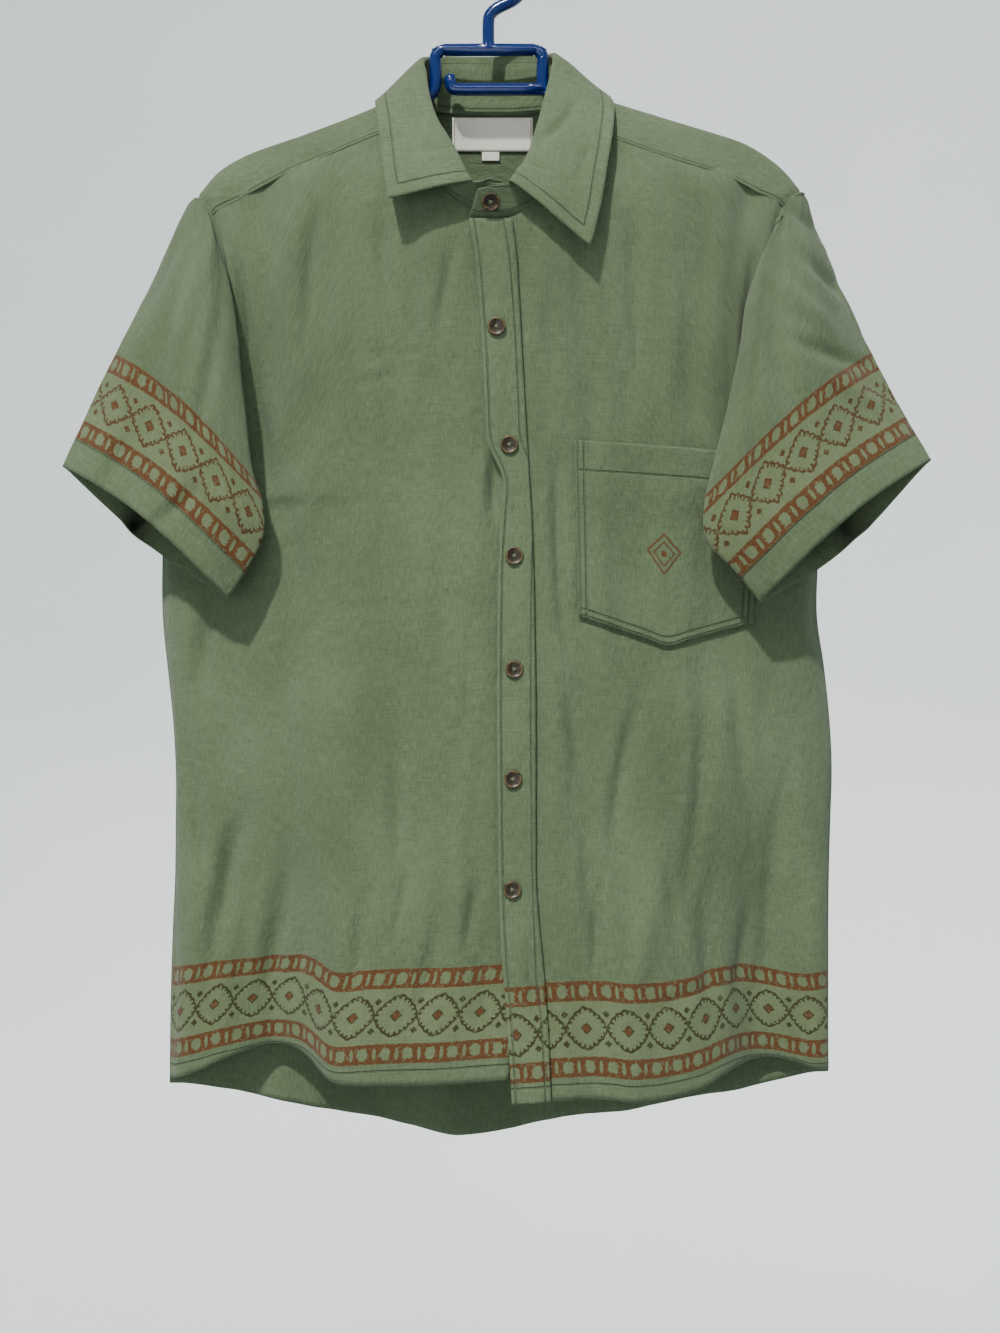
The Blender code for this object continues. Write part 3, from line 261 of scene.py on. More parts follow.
# The sleeves: top fold and inner fold, from the armhole to the cuff.
SleeveLine = namedtuple("SleeveLine", "x y z")
SLEEVE_TOP = {
    "right": [
        SleeveLine(-221.0, -6.0, -207.0),
        SleeveLine(-240.0, -13.0, -251.5),
        SleeveLine(-259.5, -20.0, -296.0),
        SleeveLine(-279.5, -27.0, -340.0),
        SleeveLine(-303.0, -34.0, -396.5),
    ],
    "left": [
        SleeveLine(240.0, -8.0, -221.0),
        SleeveLine(256.0, -15.0, -266.0),
        SleeveLine(274.5, -22.0, -311.0),
        SleeveLine(295.5, -28.0, -355.0),
        SleeveLine(315.5, -34.0, -392.0),
    ],
}
SLEEVE_FOLD = {
    "right": [
        SleeveLine(-180.5, -37.0, -285.0),
        SleeveLine(-174.5, -43.0, -335.0),
        SleeveLine(-168.5, -48.0, -386.0),
        SleeveLine(-162.5, -50.0, -415.0),
        SleeveLine(-155.0, -52.0, -437.0),
        SleeveLine(-169.5, -53.0, -470.0),
        SleeveLine(-183.5, -52.0, -490.5),
    ],
    "left": [
        SleeveLine(186.0, -38.0, -271.0),
        SleeveLine(178.5, -44.0, -318.0),
        SleeveLine(168.0, -50.0, -364.0),
        SleeveLine(157.5, -54.0, -407.0),
        SleeveLine(151.5, -55.0, -444.0),
        SleeveLine(174.0, -56.0, -473.0),
        SleeveLine(191.0, -54.0, -494.0),
    ],
}

# A sleeve's depth around the ring, how far the back of the cuff hangs, and how
# far the cloth swings out under the arm.
SleeveShape = namedtuple("SleeveShape", "front_puff back_puff cuff_rise cuff_drop swing")
SLEEVE_SHAPE = {
    "right": SleeveShape(14.0, 18.0, 10.0, 9.0, 12.0),
    "left": SleeveShape(14.0, 18.0, 9.0, 14.0, 12.0),
}
SLEEVE_STEPS = [0.0, 0.035, 0.11, 0.2, 0.3, 0.4, 0.5, 0.6, 0.7, 0.8, 0.9, 1.0]
ARMPIT_SHARE = 0.6
# The sleeve's first ring: how far out at the head, in front and at the armpit.
HEAD_OUT = 4.0
FOLD_OUT = 1.2
ARMPIT_OUT = 3.6
ARMPIT_GAP = 2.5
ARMPIT_FORWARD = 0.15
UNDER_PLACE = 1.5
UNDER_WIDTH = 4.4
UNDER_DROP = 3.0
SLEEVE_LIFT = 3.8
FOLD_FADE = 2.6

# The collar: a station from each front end to the centre back. The seam is on
# the shirt's neck edge, the roll is the fold line and the edge is the leaf's.
Collar = namedtuple("Collar", "seam_x seam_z roll_x roll_y roll_z leaf_x leaf_y leaf_z")
COLLAR_RIGHT = [
    Collar(-26.0, -205.5, -11.0, -61.0, -200.5, -69.0, -66.0, -213.5),
    Collar(-37.0, -194.0, -16.5, -56.0, -189.5, -73.0, -59.0, -193.0),
    Collar(-47.5, -181.0, -25.0, -46.0, -170.5, -75.5, -48.0, -173.0),
    Collar(-56.5, -165.0, -37.0, -30.0, -147.0, -78.5, -36.0, -152.0),
    Collar(-63.5, -147.5, -43.5, -14.0, -122.0, -81.5, -20.0, -134.0),
    Collar(-66.0, -130.0, -45.5, -5.0, -107.0, -82.0, -9.0, -127.5),
    Collar(-65.5, -124.0, -47.0, 4.0, -94.0, -81.0, 3.0, -125.5),
    Collar(-52.0, -126.0, -39.0, 15.0, -87.0, -64.0, 22.0, -131.0),
    Collar(-26.0, -128.0, -20.0, 20.0, -85.0, -34.0, 27.0, -135.0),
]
COLLAR_BACK = Collar(3.0, -129.0, 0.0, 21.5, -84.5, 2.0, 29.0, -137.0)
COLLAR_LEFT = [
    Collar(33.0, -128.0, 21.0, 20.0, -84.5, 38.0, 27.0, -135.0),
    Collar(58.0, -125.0, 39.5, 15.0, -86.0, 70.0, 22.0, -131.0),
    Collar(73.0, -123.5, 47.0, 4.0, -91.0, 86.5, 3.0, -122.0),
    Collar(73.5, -130.0, 46.0, -5.0, -105.0, 89.5, -9.0, -125.5),
    Collar(69.5, -148.5, 43.0, -14.0, -121.0, 91.0, -20.0, -136.0),
    Collar(66.0, -164.0, 35.5, -30.0, -153.0, 88.5, -40.0, -160.0),
    Collar(58.5, -181.0, 27.0, -46.0, -181.5, 83.5, -52.0, -190.0),
    Collar(48.0, -197.5, 20.0, -56.0, -193.0, 78.5, -58.0, -219.0),
    Collar(38.0, -208.0, 14.5, -61.0, -201.5, 71.5, -62.0, -246.0),
]
STAND_END_RIGHT = [
    Collar(20.0, -219.0, 13.0, -53.5, -201.0, 0.0, 0.0, 0.0),
    Collar(-1.0, -220.0, 4.0, -57.0, -196.5, 0.0, 0.0, 0.0),
]
STAND_END_LEFT = [
    Collar(15.0, -221.0, 3.0, -62.5, -203.5, 0.0, 0.0, 0.0),
    Collar(-13.0, -221.5, -7.0, -62.5, -206.0, 0.0, 0.0, 0.0),
]
FALL_ROWS = 6
FALL_PUFF = 3.0
FALL_LIFT = 3.2
ROLL_OUT = 3.4
ROLL_GAP = 1.7
STAND_GAP = 2.0

# The pocket, from the wearer's right top corner round.
PocketEdge = namedtuple("PocketEdge", "share top_z low_z")
POCKET = [
    PocketEdge(0.0, -379.0, -503.5),
    PocketEdge(0.5, -382.5, -524.5),
    PocketEdge(1.0, -387.0, -508.0),
]
POCKET_INNER_X = 61.5
POCKET_OUTER_X = 190.0
POCKET_CELLS = 8
POCKET_OUT = 2.7

# Buttons, neck label and size tab.
BUTTON_RADIUS = 6.4
BUTTON_THICK = 2.8
ButtonPlace = namedtuple("ButtonPlace", "x z")
BUTTONS = [
    ButtonPlace(6.0, -300.0),
    ButtonPlace(15.0, -382.5),
    ButtonPlace(18.5, -461.0),
    ButtonPlace(18.5, -541.0),
    ButtonPlace(17.5, -618.5),
    ButtonPlace(17.0, -696.5),
]
STAND_BUTTON_BACK = 0.62
STAND_BUTTON_SEAT = 0.8
LABEL_WIDTH = 60.0
LABEL_TOP = -131.0
LABEL_LOW = -155.0
LABEL_X = 3.0
TAB_WIDTH = 13.0
TAB_LOW = -161.5
TAB_X = 1.5

# Fine cloth: how many cells each cell of the plain solids gets.
FRONT_FINE = (8, 8)
BACK_FINE = (6, 8)
YOKE_FINE = (5, 6)
SLEEVE_FINE = (8, 6)
STAND_FINE = (5, 5)
FALL_FINE = (5, 6)
PLACKET_FINE = (7, 12)
POCKET_FINE = (9, 9)
TAPE_FINE = (6, 6)
TUCK_ROWS = 3
SHEET = 0.9
BAND_CLOTH = 1.3

# Creases seen on the fronts, and like ones on the back: centre, half length, lean from
# upright in degrees, width, depth (a ridge is under 0) and sideways bend.
Crease = namedtuple("Crease", "x z half lean width depth bend")
CREASE_IN = 3.0
CREASE_OUT = 2.0
FRONT_CREASES = [
    Crease(-177.0, -285.0, 66.0, -9.0, 9.0, 2.4, 0.0),
    Crease(-162.0, -378.0, 80.0, -9.0, 10.0, 2.2, -3.0),
    Crease(-146.0, -300.0, 80.0, -6.0, 10.0, -1.4, -3.0),
    Crease(-128.0, -262.0, 70.0, 4.0, 8.0, 1.2, 3.0),
    Crease(-104.0, -300.0, 110.0, 2.0, 10.0, -1.1, 6.0),
    Crease(-74.0, -250.0, 60.0, -6.0, 7.0, 1.0, 3.0),
    Crease(-45.0, -300.0, 90.0, 5.0, 9.0, -0.9, -6.0),
    Crease(-30.0, -270.0, 46.0, 12.0, 6.0, 0.9, 2.0),
    Crease(-70.0, -318.0, 26.0, 86.0, 3.0, 0.5, 2.0),
    Crease(-80.0, -336.0, 30.0, 83.0, 3.0, 0.5, -2.0),
    Crease(-140.0, -455.0, 90.0, -8.0, 11.0, 1.1, 5.0),
    Crease(-110.0, -480.0, 70.0, 5.0, 12.0, -0.9, 5.0),
    Crease(-60.0, -495.0, 70.0, 88.0, 3.0, 0.5, 3.0),
    Crease(-205.0, -520.0, 60.0, 10.0, 9.0, 1.2, 3.0),
    Crease(-191.0, -700.0, 80.0, 11.0, 11.0, 2.3, 4.0),
    Crease(-213.0, -640.0, 70.0, -6.0, 7.0, 1.0, 4.0),
    Crease(-168.0, -730.0, 60.0, 8.0, 9.0, -1.2, 3.0),
    Crease(-92.0, -735.0, 38.0, -8.0, 5.0, 0.9, 2.0),
    Crease(-137.0, -752.0, 34.0, 14.0, 6.0, 0.8, 2.0),
    Crease(-13.0, -718.0, 44.0, 12.0, 6.0, 1.1, 3.0),
    Crease(-60.0, -700.0, 40.0, 10.0, 5.0, 0.7, -2.0),
    Crease(30.0, -760.0, 36.0, -10.0, 5.0, 0.7, 2.0),
    Crease(131.0, -706.0, 46.0, -9.0, 6.0, 0.8, 2.0),
    Crease(186.0, -742.0, 44.0, 7.0, 7.0, 1.0, -3.0),
    Crease(77.0, -722.0, 52.0, 5.0, 5.0, 0.9, 2.0),
    Crease(-150.0, -720.0, 70.0, 9.0, 9.0, 1.3, -5.0),
    Crease(-118.0, -690.0, 80.0, -12.0, 11.0, -1.3, 6.0),
    Crease(-92.0, -740.0, 60.0, 8.0, 8.0, 1.2, 4.0),
    Crease(-64.0, -650.0, 70.0, -5.0, 8.0, 0.9, 5.0),
    Crease(-40.0, -745.0, 66.0, 10.0, 9.0, 1.2, -4.0),
    Crease(-22.0, -700.0, 80.0, -4.0, 8.0, -0.9, 4.0),
    Crease(-14.0, -560.0, 60.0, 3.0, 7.0, 0.7, -3.0),
    Crease(46.0, -310.0, 50.0, -22.0, 6.0, 0.9, 4.0),
    Crease(58.0, -340.0, 60.0, -16.0, 7.0, -0.8, 3.0),
    Crease(50.0, -460.0, 95.0, -3.0, 6.0, 1.4, 4.0),
    Crease(104.0, -275.0, 75.0, -4.0, 9.0, 1.0, 5.0),
    Crease(132.0, -310.0, 60.0, 5.0, 9.0, -1.0, -4.0),
    Crease(187.0, -296.0, 78.0, 3.0, 7.0, 1.9, 3.0),
    Crease(60.0, -585.0, 46.0, -14.0, 7.0, 0.9, 3.0),
    Crease(96.0, -610.0, 80.0, 11.0, 8.0, 1.2, 6.0),
    Crease(128.0, -580.0, 50.0, -10.0, 7.0, -0.9, 4.0),
    Crease(150.0, -640.0, 90.0, 6.0, 9.0, 1.3, -6.0),
    Crease(182.0, -600.0, 70.0, -7.0, 8.0, 1.0, 4.0),
    Crease(72.0, -700.0, 60.0, -8.0, 8.0, 1.1, 5.0),
    Crease(112.0, -730.0, 70.0, 10.0, 10.0, -1.2, -6.0),
    Crease(158.0, -750.0, 66.0, -6.0, 9.0, 1.2, 5.0),
    Crease(206.0, -700.0, 100.0, 3.0, 9.0, 1.3, 4.0),
    Crease(228.0, -640.0, 70.0, -4.0, 7.0, -1.0, 3.0),
    Crease(140.0, -775.0, 40.0, 74.0, 5.0, 0.8, 5.0),
]
FLY_GAPE = [Crease(4.0, -413.0, 36.0, 0.0, 7.0, 2.2, 3.0)]
COLLAR_CREASES = [
    Crease(42.0, -160.0, 24.0, 44.0, 5.5, 1.3, 2.0),
    Crease(56.0, -146.0, 26.0, 34.0, 5.5, 1.1, -2.0),
    Crease(66.0, -186.0, 22.0, 20.0, 4.5, 0.8, 2.0),
    Crease(58.0, -206.0, 16.0, -38.0, 4.0, 0.7, 1.0),
    Crease(34.0, -187.0, 14.0, -52.0, 3.5, 0.6, 1.0),
    Crease(-52.0, -140.0, 24.0, -30.0, 5.0, 0.9, 2.0),
    Crease(-66.0, -166.0, 18.0, 62.0, 4.5, 0.8, 2.0),
    Crease(-38.0, -176.0, 15.0, 80.0, 3.5, 0.6, -1.0),
]
BACK_CREASES = [
    Crease(-170.0, -360.0, 110.0, 5.0, 12.0, 1.8, 6.0),
    Crease(-110.0, -330.0, 90.0, -4.0, 11.0, -1.4, 5.0),
    Crease(-40.0, -290.0, 80.0, 3.0, 9.0, 1.2, -5.0),
    Crease(40.0, -300.0, 90.0, -3.0, 10.0, 1.3, 5.0),
    Crease(120.0, -350.0, 100.0, 5.0, 12.0, -1.4, 6.0),
    Crease(185.0, -380.0, 80.0, -5.0, 9.0, 1.6, 4.0),
    Crease(-195.0, -560.0, 90.0, 4.0, 10.0, 1.4, -5.0),
    Crease(-120.0, -600.0, 120.0, -5.0, 12.0, 1.3, 7.0),
    Crease(-70.0, -520.0, 80.0, 84.0, 4.0, 0.6, 4.0),
    Crease(-20.0, -640.0, 110.0, 4.0, 11.0, -1.2, 6.0),
    Crease(60.0, -560.0, 90.0, -7.0, 10.0, 1.2, 5.0),
    Crease(80.0, -500.0, 70.0, 87.0, 4.0, 0.6, -3.0),
    Crease(140.0, -620.0, 110.0, 6.0, 12.0, 1.4, -6.0),
    Crease(200.0, -650.0, 90.0, -3.0, 9.0, 1.3, 5.0),
    Crease(-160.0, -760.0, 80.0, 6.0, 10.0, -1.4, 5.0),
    Crease(-18.0, -815.0, 70.0, 1.0, 6.0, 1.6, 2.0),
    Crease(50.0, -780.0, 70.0, -6.0, 10.0, 1.2, 5.0),
    Crease(120.0, -790.0, 70.0, 7.0, 11.0, -1.2, 4.0),
]
SLEEVE_CREASES = [
    Crease(-236.0, -260.0, 60.0, 24.0, 9.0, 1.3, 5.0),
    Crease(-214.0, -290.0, 70.0, 14.0, 9.0, -1.4, 5.0),
    Crease(-196.0, -330.0, 66.0, 8.0, 8.0, 1.5, -4.0),
    Crease(-232.0, -350.0, 55.0, -28.0, 9.0, 1.0, 5.0),
    Crease(-190.0, -420.0, 46.0, -40.0, 8.0, -1.2, 4.0),
    Crease(-262.0, -395.0, 40.0, 30.0, 8.0, 0.9, 3.0),
    Crease(-222.0, -430.0, 40.0, 50.0, 7.0, 1.1, 3.0),
    Crease(238.0, -222.0, 40.0, -58.0, 7.0, 1.5, 3.0),
    Crease(248.0, -262.0, 46.0, -62.0, 8.0, 1.6, 4.0),
    Crease(222.0, -282.0, 50.0, -50.0, 8.0, -1.5, 4.0),
    Crease(243.0, -318.0, 46.0, -76.0, 7.0, 1.4, 4.0),
    Crease(207.0, -330.0, 60.0, -22.0, 9.0, 1.4, 5.0),
    Crease(262.0, -345.0, 44.0, -60.0, 8.0, -1.2, 4.0),
    Crease(190.0, -390.0, 60.0, -14.0, 9.0, 1.3, 4.0),
    Crease(232.0, -425.0, 44.0, -50.0, 8.0, -1.1, 4.0),
]

# Small even crinkle of the cloth: size across, size along and height.
Crinkle = namedtuple("Crinkle", "across along height")
CRINKLES = [Crinkle(38.0, 170.0, 3.4), Crinkle(15.0, 85.0, 1.7), Crinkle(7.0, 18.0, 0.4)]
EDGE_HOLD = 9.0

# The printed band, in millimetres up from the hem and along it.
HEM_MARGIN = 16.0
CUFF_MARGIN = 22.0
RAIL_TALL = 14.0
RAIL_LOW = 7.2
RAIL_HIGH = 60.4
PEBBLE_PITCH = 16.0
MEDALLION_PITCH = 30.0
MEDALLION_MIDDLE = 34.0
MEDALLION_TALL = 14.6
HEM_STITCH = 11.0
CUFF_STITCH = 21.0

SAGE_LIGHT = (0.126, 0.167, 0.094)
SAGE_DARK = (0.068, 0.094, 0.048)
BAND_GROUND = (0.165, 0.185, 0.088)
FLECK = (0.028, 0.044, 0.018)
RUST = (0.088, 0.029, 0.008)
OUTLINE = (0.027, 0.022, 0.006)
CUFF_OUTLINE = (0.060, 0.024, 0.007)
THREAD = (0.125, 0.158, 0.082)
ALL_ALONG = (-1000.0, 1000.0)
COLLAR_STITCH = 8.5
PLACKET_STITCH = 3.2
POCKET_STITCHES = (1.8, 6.2)
POCKET_HEM = 21.0
POCKET_MOTIF = (64.0, 62.0)
HEM_TILTS = ((-157.0, 46.0), (214.0, 44.0))
YOKE_LAPS = ((-164, 17), (192, 17))
HEM_BOW = (1.5, 1.3, 0.03)
CUFF_BOW = (1.2, 1.12, 0.05)
HEAD_IN = 3.4
HEM_SHIFT = 4.0
CUFF_SHIFT = 7.0
PLACKET_SHIFT = -6.0
BUTTON_PROFILE = [(0.0, 0.0), (0.72, 0.0), (0.93, 0.12), (1.0, 0.35), (1.0, 0.72), (0.955, 0.93), (0.88, 1.0),
                  (0.79, 0.95), (0.71, 0.8), (0.64, 0.72), (0.0, 0.67)]
BUTTON_TURNS = (10.0, 35.0, -20.0, 50.0, 5.0, -30.0, 20.0)
HOLE_OFF = 1.15
HOLE_RADIUS = 0.72

# The camera and the stage, in metres.
CAMERA_AWAY = 1.25
VIEW_HEIGHT = 0.9784
VIEW_X = 0.00844
VIEW_Z = -0.5391
KEY_FROM = (-0.28, -0.70, 0.90)
STAGE_RADIUS = 4.2
STAGE_CURVE = 1.6
STAGE_FLOOR = -2.1
STAGE_TOP = 3.5


def mix(low, high, share):
    return low + (high - low) * share


def clamp(value, low=0.0, high=1.0):
    return max(low, min(high, value))


def ease(share):
    share = clamp(share)
    return share * share * (3.0 - 2.0 * share)


def read(rows, key, name, at):
    """Read a column of a table at a place on its key column, on a smooth curve."""
    points = sorted((getattr(row, key), getattr(row, name)) for row in rows)
    if at <= points[0][0]:
        return points[0][1]
    if at >= points[-1][0]:
        return points[-1][1]
    last = len(points) - 1
    place = next(n for n in range(last) if at <= points[n + 1][0])
    slopes = []
    for n in (place, place + 1):
        before = points[max(n - 1, 0)]
        after = points[min(n + 1, last)]
        rise = (after[1] - before[1]) / (after[0] - before[0])
        if 0 < n < last:
            down = (points[n][1] - before[1]) / (points[n][0] - before[0])
            up = (after[1] - points[n][1]) / (after[0] - points[n][0])
            if down * up <= 0.0:
                rise = 0.0
            else:
                rise = math.copysign(min(abs(rise), 3 * abs(down), 3 * abs(up)), rise)
        slopes.append(rise)
    x0, y0 = points[place]
    x1, y1 = points[place + 1]
    span = x1 - x0
    t = (at - x0) / span
    return ((2 * t ** 3 - 3 * t ** 2 + 1) * y0 + (t ** 3 - 2 * t ** 2 + t) * span * slopes[0]
            + (3 * t ** 2 - 2 * t ** 3) * y1 + (t ** 3 - t ** 2) * span * slopes[1])


def ridge_z(x):
    return read(RIDGE, "x", "z", x)


def outline_x(face, side, z):
    """The armhole line, then the side seam, of the front or back panel."""
    return read(SECTIONS, "z", face + "_" + side, z)


def fold_depth(folds, x, z):
    total = 0.0
    for fold in folds:
        down = (fold.z_top - z) / (fold.z_top - fold.z_low)
        if down < -0.15 or down > 1.15:
            continue
        centre = mix(fold.x_top, fold.x_low, down)
        depth = mix(fold.depth_top, fold.depth_low, ease(down))
        fade = ease((down + 0.15) / 0.15) * ease((1.15 - down) / 0.15)
        total += depth * fade * math.exp(-((x - centre) / fold.width) ** 2)
    return total


def body_y(face, x, z):
    """Depth of the front or back of the shirt, rounded over the shoulder ridge."""
    side = "right" if x < CENTRE_X else "left"
    edge_x = outline_x(face, side, z)
    share = clamp((x - edge_x) / (CENTRE_X - edge_x))
    round_amount = read(SECTIONS, "z", "round", z) * ROUND_SHARE
    near = clamp(share / ROUND_WIDTH)
    profile = round_amount * math.sqrt(1.0 - (1.0 - near) ** 2)
    profile += (1.0 - round_amount) * (1.0 - (1.0 - share) ** BODY_CURVE)
    depth = mix(read(SECTIONS, "z", "edge_" + face, z), read(SECTIONS, "z", "mid_" + face, z), profile)
    folds = FRONT_FOLDS if face == "front" else BACK_FOLDS
    away_from_edge = ease(abs(x - edge_x) / FOLD_EDGE)
    depth += fold_depth(folds, x, z) * away_from_edge * (1.0 if face == "front" else -1.0)
    drop = max(0.0, ridge_z(x) - z)
    return depth * (1.0 - math.exp(-math.sqrt(drop / RIDGE_HEIGHT)))


def body_point(face, x, z, out=0.0):
    """A point of the panel, moved out along its outward direction."""
    step = 1.0
    y = body_y(face, x, z)
    if out == 0.0:
        return Vector((x, y, z))
    along_x = Vector((2 * step, body_y(face, x + step, z) - body_y(face, x - step, z), 0.0))
    along_z = Vector((0.0, body_y(face, x, z + step) - body_y(face, x, z - step), 2 * step))
    outward = along_x.cross(along_z).normalized()
    if (outward.y > 0.0) == (face == "front"):
        outward.negate()
    return Vector((x, y, z)) + outward * out


def shoulder_point(x, sigma, out=0.0):
    """A point of the yoke: sigma is under 0 in front of the ridge and over 0 behind it."""
    face = "front" if sigma < 0.0 else "back"
    z = ridge_z(x) - sigma * sigma
    point = Vector((x, body_y(face, x, z), z))
    if out:
        lean = clamp(abs(sigma) / 5.0)
        away = Vector((0.0, math.copysign(lean, sigma), 1.0 - lean))
        point += away.normalized() * out
    return point


def armhole_x(face, side, sigma):
    """Where the armhole line crosses the yoke at a place down from the ridge."""
    x = outline_x(face, side, -200.0)
    for _ in range(12):
        x = mix(x, outline_x(face, side, ridge_z(x) - sigma * sigma), 0.6)
    return x


def settle(rows, start, line):
    """Solve x = line(z), z = edge(x) for the end of a column."""
    x = start
    for _ in range(14):
        x = mix(x, line(read(rows, "x", "z", x)), 0.6)
    return x


def front_top(side, x):
    if side == "right":
        rows = FRONT_TOP_RIGHT if x < FRONT_TOP_RIGHT[-1].x else NECK_RIGHT
    else:
        rows = FRONT_TOP_LEFT if x > FRONT_TOP_LEFT[0].x else NECK_LEFT
    return read(rows, "x", "z", x)


def over_layer(side, x):
    """The left front lies on the right one at the opening."""
    return LAYER * ease((OVER_START - x) / OVER_RAMP) if side == "left" else 0.0


def row_height(row, top, low):
    """Height of a row of a panel: shared rows beside the armhole, then even ones to the hem."""
    beside = len(ARMHOLE_ROWS) - 1
    if row <= beside:
        share = (ARMHOLE_ROWS[row] - ARMPIT_Z) / (ARMHOLE_ROWS[0] - ARMPIT_Z)
        return mix(ARMPIT_Z, top, share)
    return mix(ARMPIT_Z, low, (row - beside) / LOW_ROWS)


def panel_rows():
    return len(ARMHOLE_ROWS) - 1 + LOW_ROWS


def front_grid(side, columns):
    """Points of a front panel, a list for each column from the outside to the opening."""
    sign = SIGN[side]
    inner_name = "under" if side == "right" else "free"
    corner_x = FRONT_TOP_RIGHT[-1].x if side == "right" else FRONT_TOP_LEFT[0].x
    outer_top = outline_x("front", side, CORNER_Z[side])
    inner_top = read(OPENING, "z", inner_name, -222.0)
    corner_share = (corner_x - outer_top) / (inner_top - outer_top)
    corner_column = round(columns * CORNER_COLUMN / FRONT_COLUMNS)
    hem = HEM_RIGHT if side == "right" else HEM_LEFT
    grid = []
    for column in range(columns + 1):
        if column <= corner_column:
            share = corner_share * (column / corner_column) ** OUTER_CROWD
        else:
            share = mix(corner_share, 1.0, (column - corner_column) / (columns - corner_column))

        def line(z, share=share):
            outer = outline_x("front", side, min(z, CORNER_Z[side]))
            return mix(outer, read(OPENING, "z", inner_name, z), share)

        x_top = line(-213.0)
        for _ in range(14):
            x_top = mix(x_top, line(front_top(side, x_top)), 0.6)
        top = front_top(side, x_top) - SEAM
        low = read(hem, "x", "z", settle(hem, line(-840.0), line))
        points = []
        for row in range(panel_rows() + 1):
            z = row_height(row, top, low)
            x = line(z)
            y = body_y("front", x, z) - over_layer(side, x)
            if column == 0:
                seam = ease((ARMPIT_Z + SEAM_CHANGE - z) / SEAM_CHANGE)
                x -= sign * SEAM * (1.0 - seam)
                y -= SEAM * 1.1 * seam
            points.append(Vector((x, y, z)))
        grid.append(points)
    return grid


def back_grid(columns):
    grid = []
    for column in range(columns + 1):
        place = column / columns * 2.0 - 1.0
        share = 0.5 + 0.5 * math.copysign(1.0 - (1.0 - abs(place)) ** BACK_CROWD, place)

        def line(z, share=share):
            return mix(outline_x("back", "right", z), outline_x("back", "left", z), share)

        top = ARMHOLE_ROWS[0]
        low = read(HEM_BACK, "x", "z", settle(HEM_BACK, line(-860.0), line))
        points = []
        for row in range(panel_rows() + 1):
            z = row_height(row, top, low)
            x = line(z)
            y = body_y("back", x, z)
            if column in (0, columns):
                seam = ease((ARMPIT_Z + SEAM_CHANGE - z) / SEAM_CHANGE)
                x += SEAM * (1.0 - seam) * (1.0 if column == 0 else -1.0)
                y += SEAM * 1.1 * seam
            points.append(Vector((x, y, z)))
        grid.append(points)
    return grid


def collar_stations():
    return COLLAR_RIGHT + [COLLAR_BACK] + COLLAR_LEFT


def seam_sigma(station):
    """How far before or behind the ridge a collar station's seam lies."""
    drop = math.sqrt(max(0.0, ridge_z(station.seam_x) - station.seam_z))
    return drop if station.roll_y > 3.0 else -drop


def yoke_grid(rows):
    """The yoke, from the front seams and the neck edge over the ridge to the back seam."""
    starts = []
    edge = outline_x("front", "right", CORNER_Z["right"])
    for share in YOKE_FRONT_SHARES:
        x = mix(edge, FRONT_TOP_RIGHT[-1].x, share)
        z = read(FRONT_TOP_RIGHT, "x", "z", x) + SEAM
        starts.append((x, -math.sqrt(ridge_z(x) - z), mix(*YOKE_BACK_RIGHT, share)))
    neck = collar_stations()[4:-4]
    spots = seam_places(neck)
    ends = [Vector((x_end, 0.0, 0.0)) for x_end in YOKE_NECK_ENDS]
    cells = 2 * (len(spots) - 1)
    for cell in range(cells + 1):
        spot = through(spots, cell / 2)
        away = YOKE_NECK_BACK if 2 < cell < cells - 2 else 0.0
        if cell in (0, cells):
            spot.y = -math.sqrt(spot.y ** 2 - 2.5 * SEAM)
        starts.append((spot.x, spot.y + away, through(ends, cell / 2).x))
    edge = outline_x("front", "left", CORNER_Z["left"])
    for share in reversed(YOKE_FRONT_SHARES):
        x = mix(edge, FRONT_TOP_LEFT[0].x, share)
        z = read(FRONT_TOP_LEFT, "x", "z", x) + SEAM
        starts.append((x, -math.sqrt(ridge_z(x) - z), mix(*YOKE_BACK_LEFT, share)))
    grid = []
    last = len(starts) - 1
    for column, (x_start, sigma_start, x_end) in enumerate(starts):
        points = []
        sigma_end = math.sqrt(ridge_z(x_end) - YOKE_BACK_Z - SEAM)
        for row in range(rows + 1):
            share = row / rows
            sigma = mix(sigma_start, sigma_end, share)
            x = mix(x_start, x_end, share)
            for side, first, away in (("right", starts[0], column), ("left", starts[last], last - column)):
                near = away / YOKE_EDGE_COLUMNS
                if near < 1.0:
                    face = "front" if sigma < 0.0 else "back"
                    bulge = armhole_x(face, side, sigma) - mix(first[0], first[2], share)
                    x += (bulge - SIGN[side] * SEAM) * (1.0 - near)
            points.append(shoulder_point(x, sigma))
        grid.append(points)
    return grid


